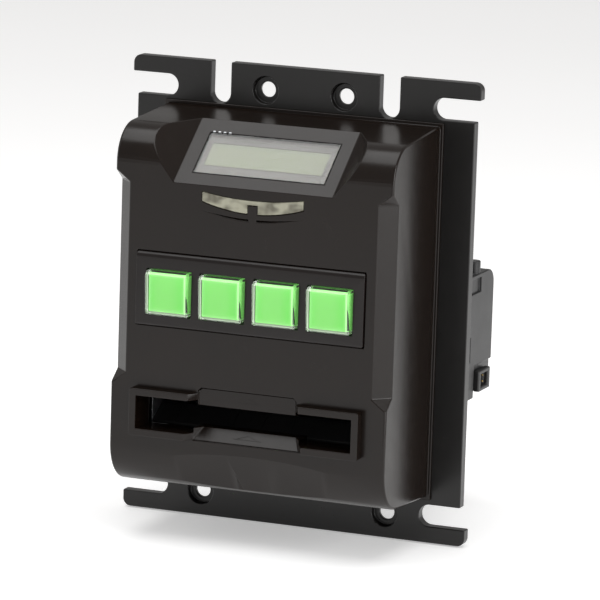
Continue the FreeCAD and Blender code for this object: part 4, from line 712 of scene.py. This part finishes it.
def tyre_profile(left, right, bore, radius, grooves, depth):
    """The section of a grooved tyre between two planes."""
    chamfer = 0.4 * MM
    top = [(left, bore), (left, radius - chamfer), (left + chamfer, radius)]
    pitch = (right - left - 2 * chamfer) / (grooves * 2 + 1)
    for number in range(grooves):
        start = left + chamfer + pitch * (number * 2 + 1)
        top += [(start, radius), (start + pitch * 0.25, radius - depth),
                (start + pitch * 0.75, radius - depth), (start + pitch, radius)]
    return top + [(right - chamfer, radius), (right, radius - chamfer), (right, bore)]


def make_tyres():
    """Grooved rubber tyres on white hubs for the driven rollers, and grooved pinch rollers."""
    for word in ("front", "rear"):
        node = f"{word}_drive_rollers"
        middle, radius = node_axis(node)
        tyres, hubs = [], []
        for x in (-ROLLER_SPREAD, ROLLER_SPREAD):
            left, right = x - ROLLER_HALF, x + ROLLER_HALF
            profile = tyre_profile(left, right, 4.6 * MM, radius, 5, 0.35 * MM)
            tyres.append(turned("tyre", profile, middle.y, middle.z))
            hub = [(left, 2.02 * MM), (left, 3.1 * MM), (left + 0.8 * MM, 3.3 * MM),
                   (left + 0.8 * MM, 4.6 * MM), (right - 0.8 * MM, 4.6 * MM),
                   (right - 0.8 * MM, 3.3 * MM), (right, 3.1 * MM), (right, 2.02 * MM)]
            hubs.append(turned("hub", hub, middle.y, middle.z))
        tyre = joined(f"{word}_drive_tyres", tyres)
        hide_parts(node)
        fit_piece(tyre, BODY_OF[node], "roller_rubber")
        fit_piece(joined(f"{word}_drive_hubs", hubs), BODY_OF[node], "acetal_white")
        node = f"{word}_pinch_rollers"
        middle, radius = node_axis(node)
        rings = []
        for x in (-ROLLER_SPREAD, ROLLER_SPREAD):
            left, right = x - ROLLER_HALF, x + ROLLER_HALF
            profile = tyre_profile(left, right, 0.62 * MM, radius, 2, 0.2 * MM)
            rings.append(turned("ring", profile, middle.y, middle.z, 40))
        ring = joined(f"{word}_pinch_wheels", rings)
        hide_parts(node)
        fit_piece(ring, BODY_OF[node], "acetal_white")


def make_pulleys():
    """Flanged pulleys with a shallow groove, and the toothed belt round them."""
    axes = []
    for word in ("front", "rear"):
        node = f"{word}_pulley"
        middle, radius = node_axis(node)
        low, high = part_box(node)
        axes.append(middle)
        flange = 0.28 * MM
        profile = [(low.x, 2.02 * MM), (low.x, radius), (low.x + flange, radius),
                   (low.x + flange, radius - 0.45 * MM), (high.x - flange, radius - 0.45 * MM),
                   (high.x - flange, radius), (high.x, radius), (high.x, 2.02 * MM)]
        wheel = turned(f"{word}_pulley_wheel", profile, middle.y, middle.z, 48)
        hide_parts(node)
        fit_piece(wheel, BODY_OF[node], "acetal_white")
    softened("drive_belt", 0.12, 2)
    low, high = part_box("drive_belt")
    shape = bmesh.new()
    reach = axes[1].y - axes[0].y
    for side in (-1, 1):
        for number in range(32):
            y = axes[0].y + (number + 0.5) * reach / 32
            inner = axes[0].z + side * 4.12 * MM
            ends = sorted((inner, inner - side * 0.38 * MM))
            block(shape, (low.x + 0.1 * MM, y - 0.45 * MM, ends[0]),
                  (high.x - 0.1 * MM, y + 0.45 * MM, ends[1]))
    fit_piece(make_object("belt_teeth", shape), "base", "belt_rubber")


def make_motor():
    """The motor: a rolled can with a crimped cap, a front boss and two terminals."""
    low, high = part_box("motor")
    middle = (low + high) / 2
    radius = (high.z - low.z) / 2
    start, end = low.x + 0.6 * MM, high.x - 2 * MM
    profile = [(low.x, 1.1 * MM), (low.x, 3.2 * MM), (start, 3.4 * MM), (start, radius - 0.8 * MM),
               (start + 0.8 * MM, radius), (end - 3.4 * MM, radius), (end - 3.1 * MM, radius - 0.35 * MM),
               (end - 2.5 * MM, radius - 0.35 * MM), (end - 2.2 * MM, radius), (end - 0.5 * MM, radius),
               (end, radius - 0.6 * MM), (end, 4.0 * MM), (high.x, 3.8 * MM), (high.x, 1.1 * MM)]
    can = turned("motor_can", profile, middle.y, middle.z, 64)
    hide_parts("motor")
    fit_piece(can, "base", "zinc_sheet")
    shape = bmesh.new()
    for side in (-1, 1):
        y = middle.y + side * 5.6 * MM
        block(shape, (end - 0.2 * MM, y - 0.9 * MM, middle.z - 0.2 * MM),
              (high.x, y + 0.9 * MM, middle.z + 0.2 * MM))
    terminals = make_object("motor_terminals", shape)
    break_edges(terminals, 0.06, 2)
    fit_piece(terminals, "base", "contact_gold")


def make_gears():
    """Gears with a raised hub and a raised ring near the teeth."""
    for node, width in (("rear_gear", 0.06), ("idler_gear", 0.06), ("motor_pinion", 0.05)):
        softened(node, width, 2)
    for node, bore, hub in (("rear_gear", 2.05, 3.6), ("idler_gear", 1.1, 3.0)):
        middle, radius = node_axis(node)
        low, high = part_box(node)
        rings = []
        for face, out in ((low.x, -1), (high.x, 1)):
            ends = (face - out * 0.3 * MM, face + out * 0.22 * MM)
            rings.append(turned("hub_ring", [(ends[0], bore * MM), (ends[1], bore * MM),
                                             (ends[1], hub * MM), (ends[0], (hub + 0.3) * MM)],
                                middle.y, middle.z, 40))
            rim = (radius - 2.6 * MM, radius - 2.0 * MM)
            rings.append(turned("rim_ring", [(ends[0], rim[0]), (ends[1], rim[0]),
                                             (ends[1], rim[1]), (ends[0], rim[1])],
                                middle.y, middle.z, 40))
        fit_piece(joined(f"{node}_rings", rings), BODY_OF[node], "acetal_white")


def make_transport():
    """The sheet-metal and rod pieces of the transport with their edges broken."""
    for node, width in (("chassis_left", 0.12), ("chassis_right", 0.12), ("chassis_ties", 0.2),
                        ("lower_guide", 0.12), ("upper_guide", 0.12), ("shutter_plate", 0.12),
                        ("shutter_rails", 0.15), ("front_drive_shaft", 0.2), ("rear_drive_shaft", 0.2),
                        ("front_pinch_axle", 0.1), ("rear_pinch_axle", 0.1), ("idler_pin", 0.12),
                        ("motor_shaft", 0.12)):
        softened(node, width, 2)


# ------------------------------------------------------------------ rear pieces

def make_rear():
    """The housing, its lid with finger ribs, the latch and the hinge pin."""
    softened("rear_housing", 0.4, 3)
    softened("access_lid", 0.3, 3)
    softened("lid_latch", 0.3, 3)
    softened("lid_pin", 0.2, 2)
    low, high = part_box("access_lid")
    hinge_low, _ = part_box("lid_pin")
    top = hinge_low.z - 1.0 * MM - 0.3 * MM
    shape = bmesh.new()
    for number in range(6):
        y = low.y + (3 + number * 2.2) * MM
        block(shape, (-14 * MM, y - 0.5 * MM, top - 0.2 * MM), (14 * MM, y + 0.5 * MM, top + 0.7 * MM))
    grip = make_object("lid_grip_ribs", shape)
    break_edges(grip, 0.3, 3)
    fit_piece(grip, "lid", "housing_grey")
    knob_low, knob_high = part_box("lid_latch")
    shape = bmesh.new()
    for number in range(4):
        x = knob_low.x + (1.6 + number * 1.7) * MM
        block(shape, (x - 0.35 * MM, knob_low.y + 1.2 * MM, knob_high.z - 0.2 * MM),
              (x + 0.35 * MM, knob_high.y - 1.2 * MM, knob_high.z + 0.25 * MM))
    ridges = make_object("latch_ridges", shape)
    break_edges(ridges, 0.15, 2)
    fit_piece(ridges, "latch", "mechanism_black")


def make_socket_pins():
    """Four contact pins inside the side socket."""
    low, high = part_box("socket_block")
    middle = (low + high) / 2
    shape = bmesh.new()
    for across in (-1.9, 1.9):
        for up in (-1.2, 1.2):
            block(shape, (low.x + 0.2 * MM, middle.y + (across - 0.32) * MM, middle.z + (up - 0.32) * MM),
                  (high.x - 1.3 * MM, middle.y + (across + 0.32) * MM, middle.z + (up + 0.32) * MM))
    pins = make_object("socket_pins", shape)
    break_edges(pins, 0.1, 2)
    fit_piece(pins, "base", "contact_gold")


def make_boards():
    """Boards with pinned chips, small parts and switch terminals."""
    for node in ("main_board", "button_board", "display_board"):
        softened(node, 0.12, 1)
    softened("board_components", 0.25, 2)
    softened("button_switches", 0.3, 2)
    low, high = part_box("main_board")
    parts_low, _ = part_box("board_components")
    middle = (low.z + high.z) / 2
    face = parts_low.y
    shape = bmesh.new()
    for x, up, half in ((-20, 10, 7), (4, 12, 5), (22, 4, 6)):
        for side in (-1, 1):
            for number in range(7):
                z = middle + (up - 4.2 + number * 1.4) * MM
                edge = (x + side * half) * MM
                ends = sorted((edge - side * 0.2 * MM, edge + side * 1.1 * MM))
                block(shape, (ends[0], face, z - 0.22 * MM), (ends[1], face + 0.6 * MM, z + 0.22 * MM))
    pins = make_object("chip_pins", shape)
    fit_piece(pins, "base", "zinc_sheet")
    shape = bmesh.new()
    for number in range(14):
        x = (-32 + (number % 7) * 3.1) * MM
        z = middle + (-17 + (number // 7) * 3.4) * MM
        block(shape, (x - 0.8 * MM, face, z - 0.5 * MM), (x + 0.8 * MM, face + 0.7 * MM, z + 0.5 * MM))
    small = make_object("board_small_parts", shape)
    break_edges(small, 0.1, 2)
    fit_piece(small, "base", "component_black")
    low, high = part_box("button_board")
    shape = bmesh.new()
    for number in range(4):
        for side in (-1, 1):
            x = (number - 1.5) * BUTTON_PITCH + side * 5.1 * MM
            z = (low.z + high.z) / 2
            block(shape, (x - 0.4 * MM, high.y - 0.1 * MM, z - 0.4 * MM),
                  (x + 0.4 * MM, high.y + 1.5 * MM, z + 0.4 * MM))
    legs = make_object("switch_terminals", shape)
    break_edges(legs, 0.12, 2)
    fit_piece(legs, "base", "zinc_sheet")


def make_screws():
    """The screws with their head edges broken."""
    for node in ("cover_screws", "housing_screws", "chassis_screws"):
        softened(node, 0.22, 3)


def make_springs():
    """The return springs, split one by one, each with a mesh of its own."""
    for number in range(1, 5):
        left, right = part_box(f"button_{number}_plunger")
        shape = bmesh.new()
        shape.from_mesh(NODES["button_springs"].data)
        others = [vert for vert in shape.verts if not left.x < vert.co.x < right.x]
        bmesh.ops.delete(shape, geom=others, context="VERTS")
        spring = make_object(f"button_{number}_spring", shape)
        if number == 1:
            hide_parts("button_springs")
        fit_piece(spring, "base", "spring_steel")
        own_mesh(spring)


make_finishes()
make_camera()
make_studio()
make_front()
make_tongue_arrows()
make_guide_ribs()
make_lens_inside()
make_display_tabs()
make_tyres()
make_pulleys()
make_motor()
make_gears()
make_transport()
make_rear()
make_socket_pins()
make_boards()
make_screws()
make_springs()
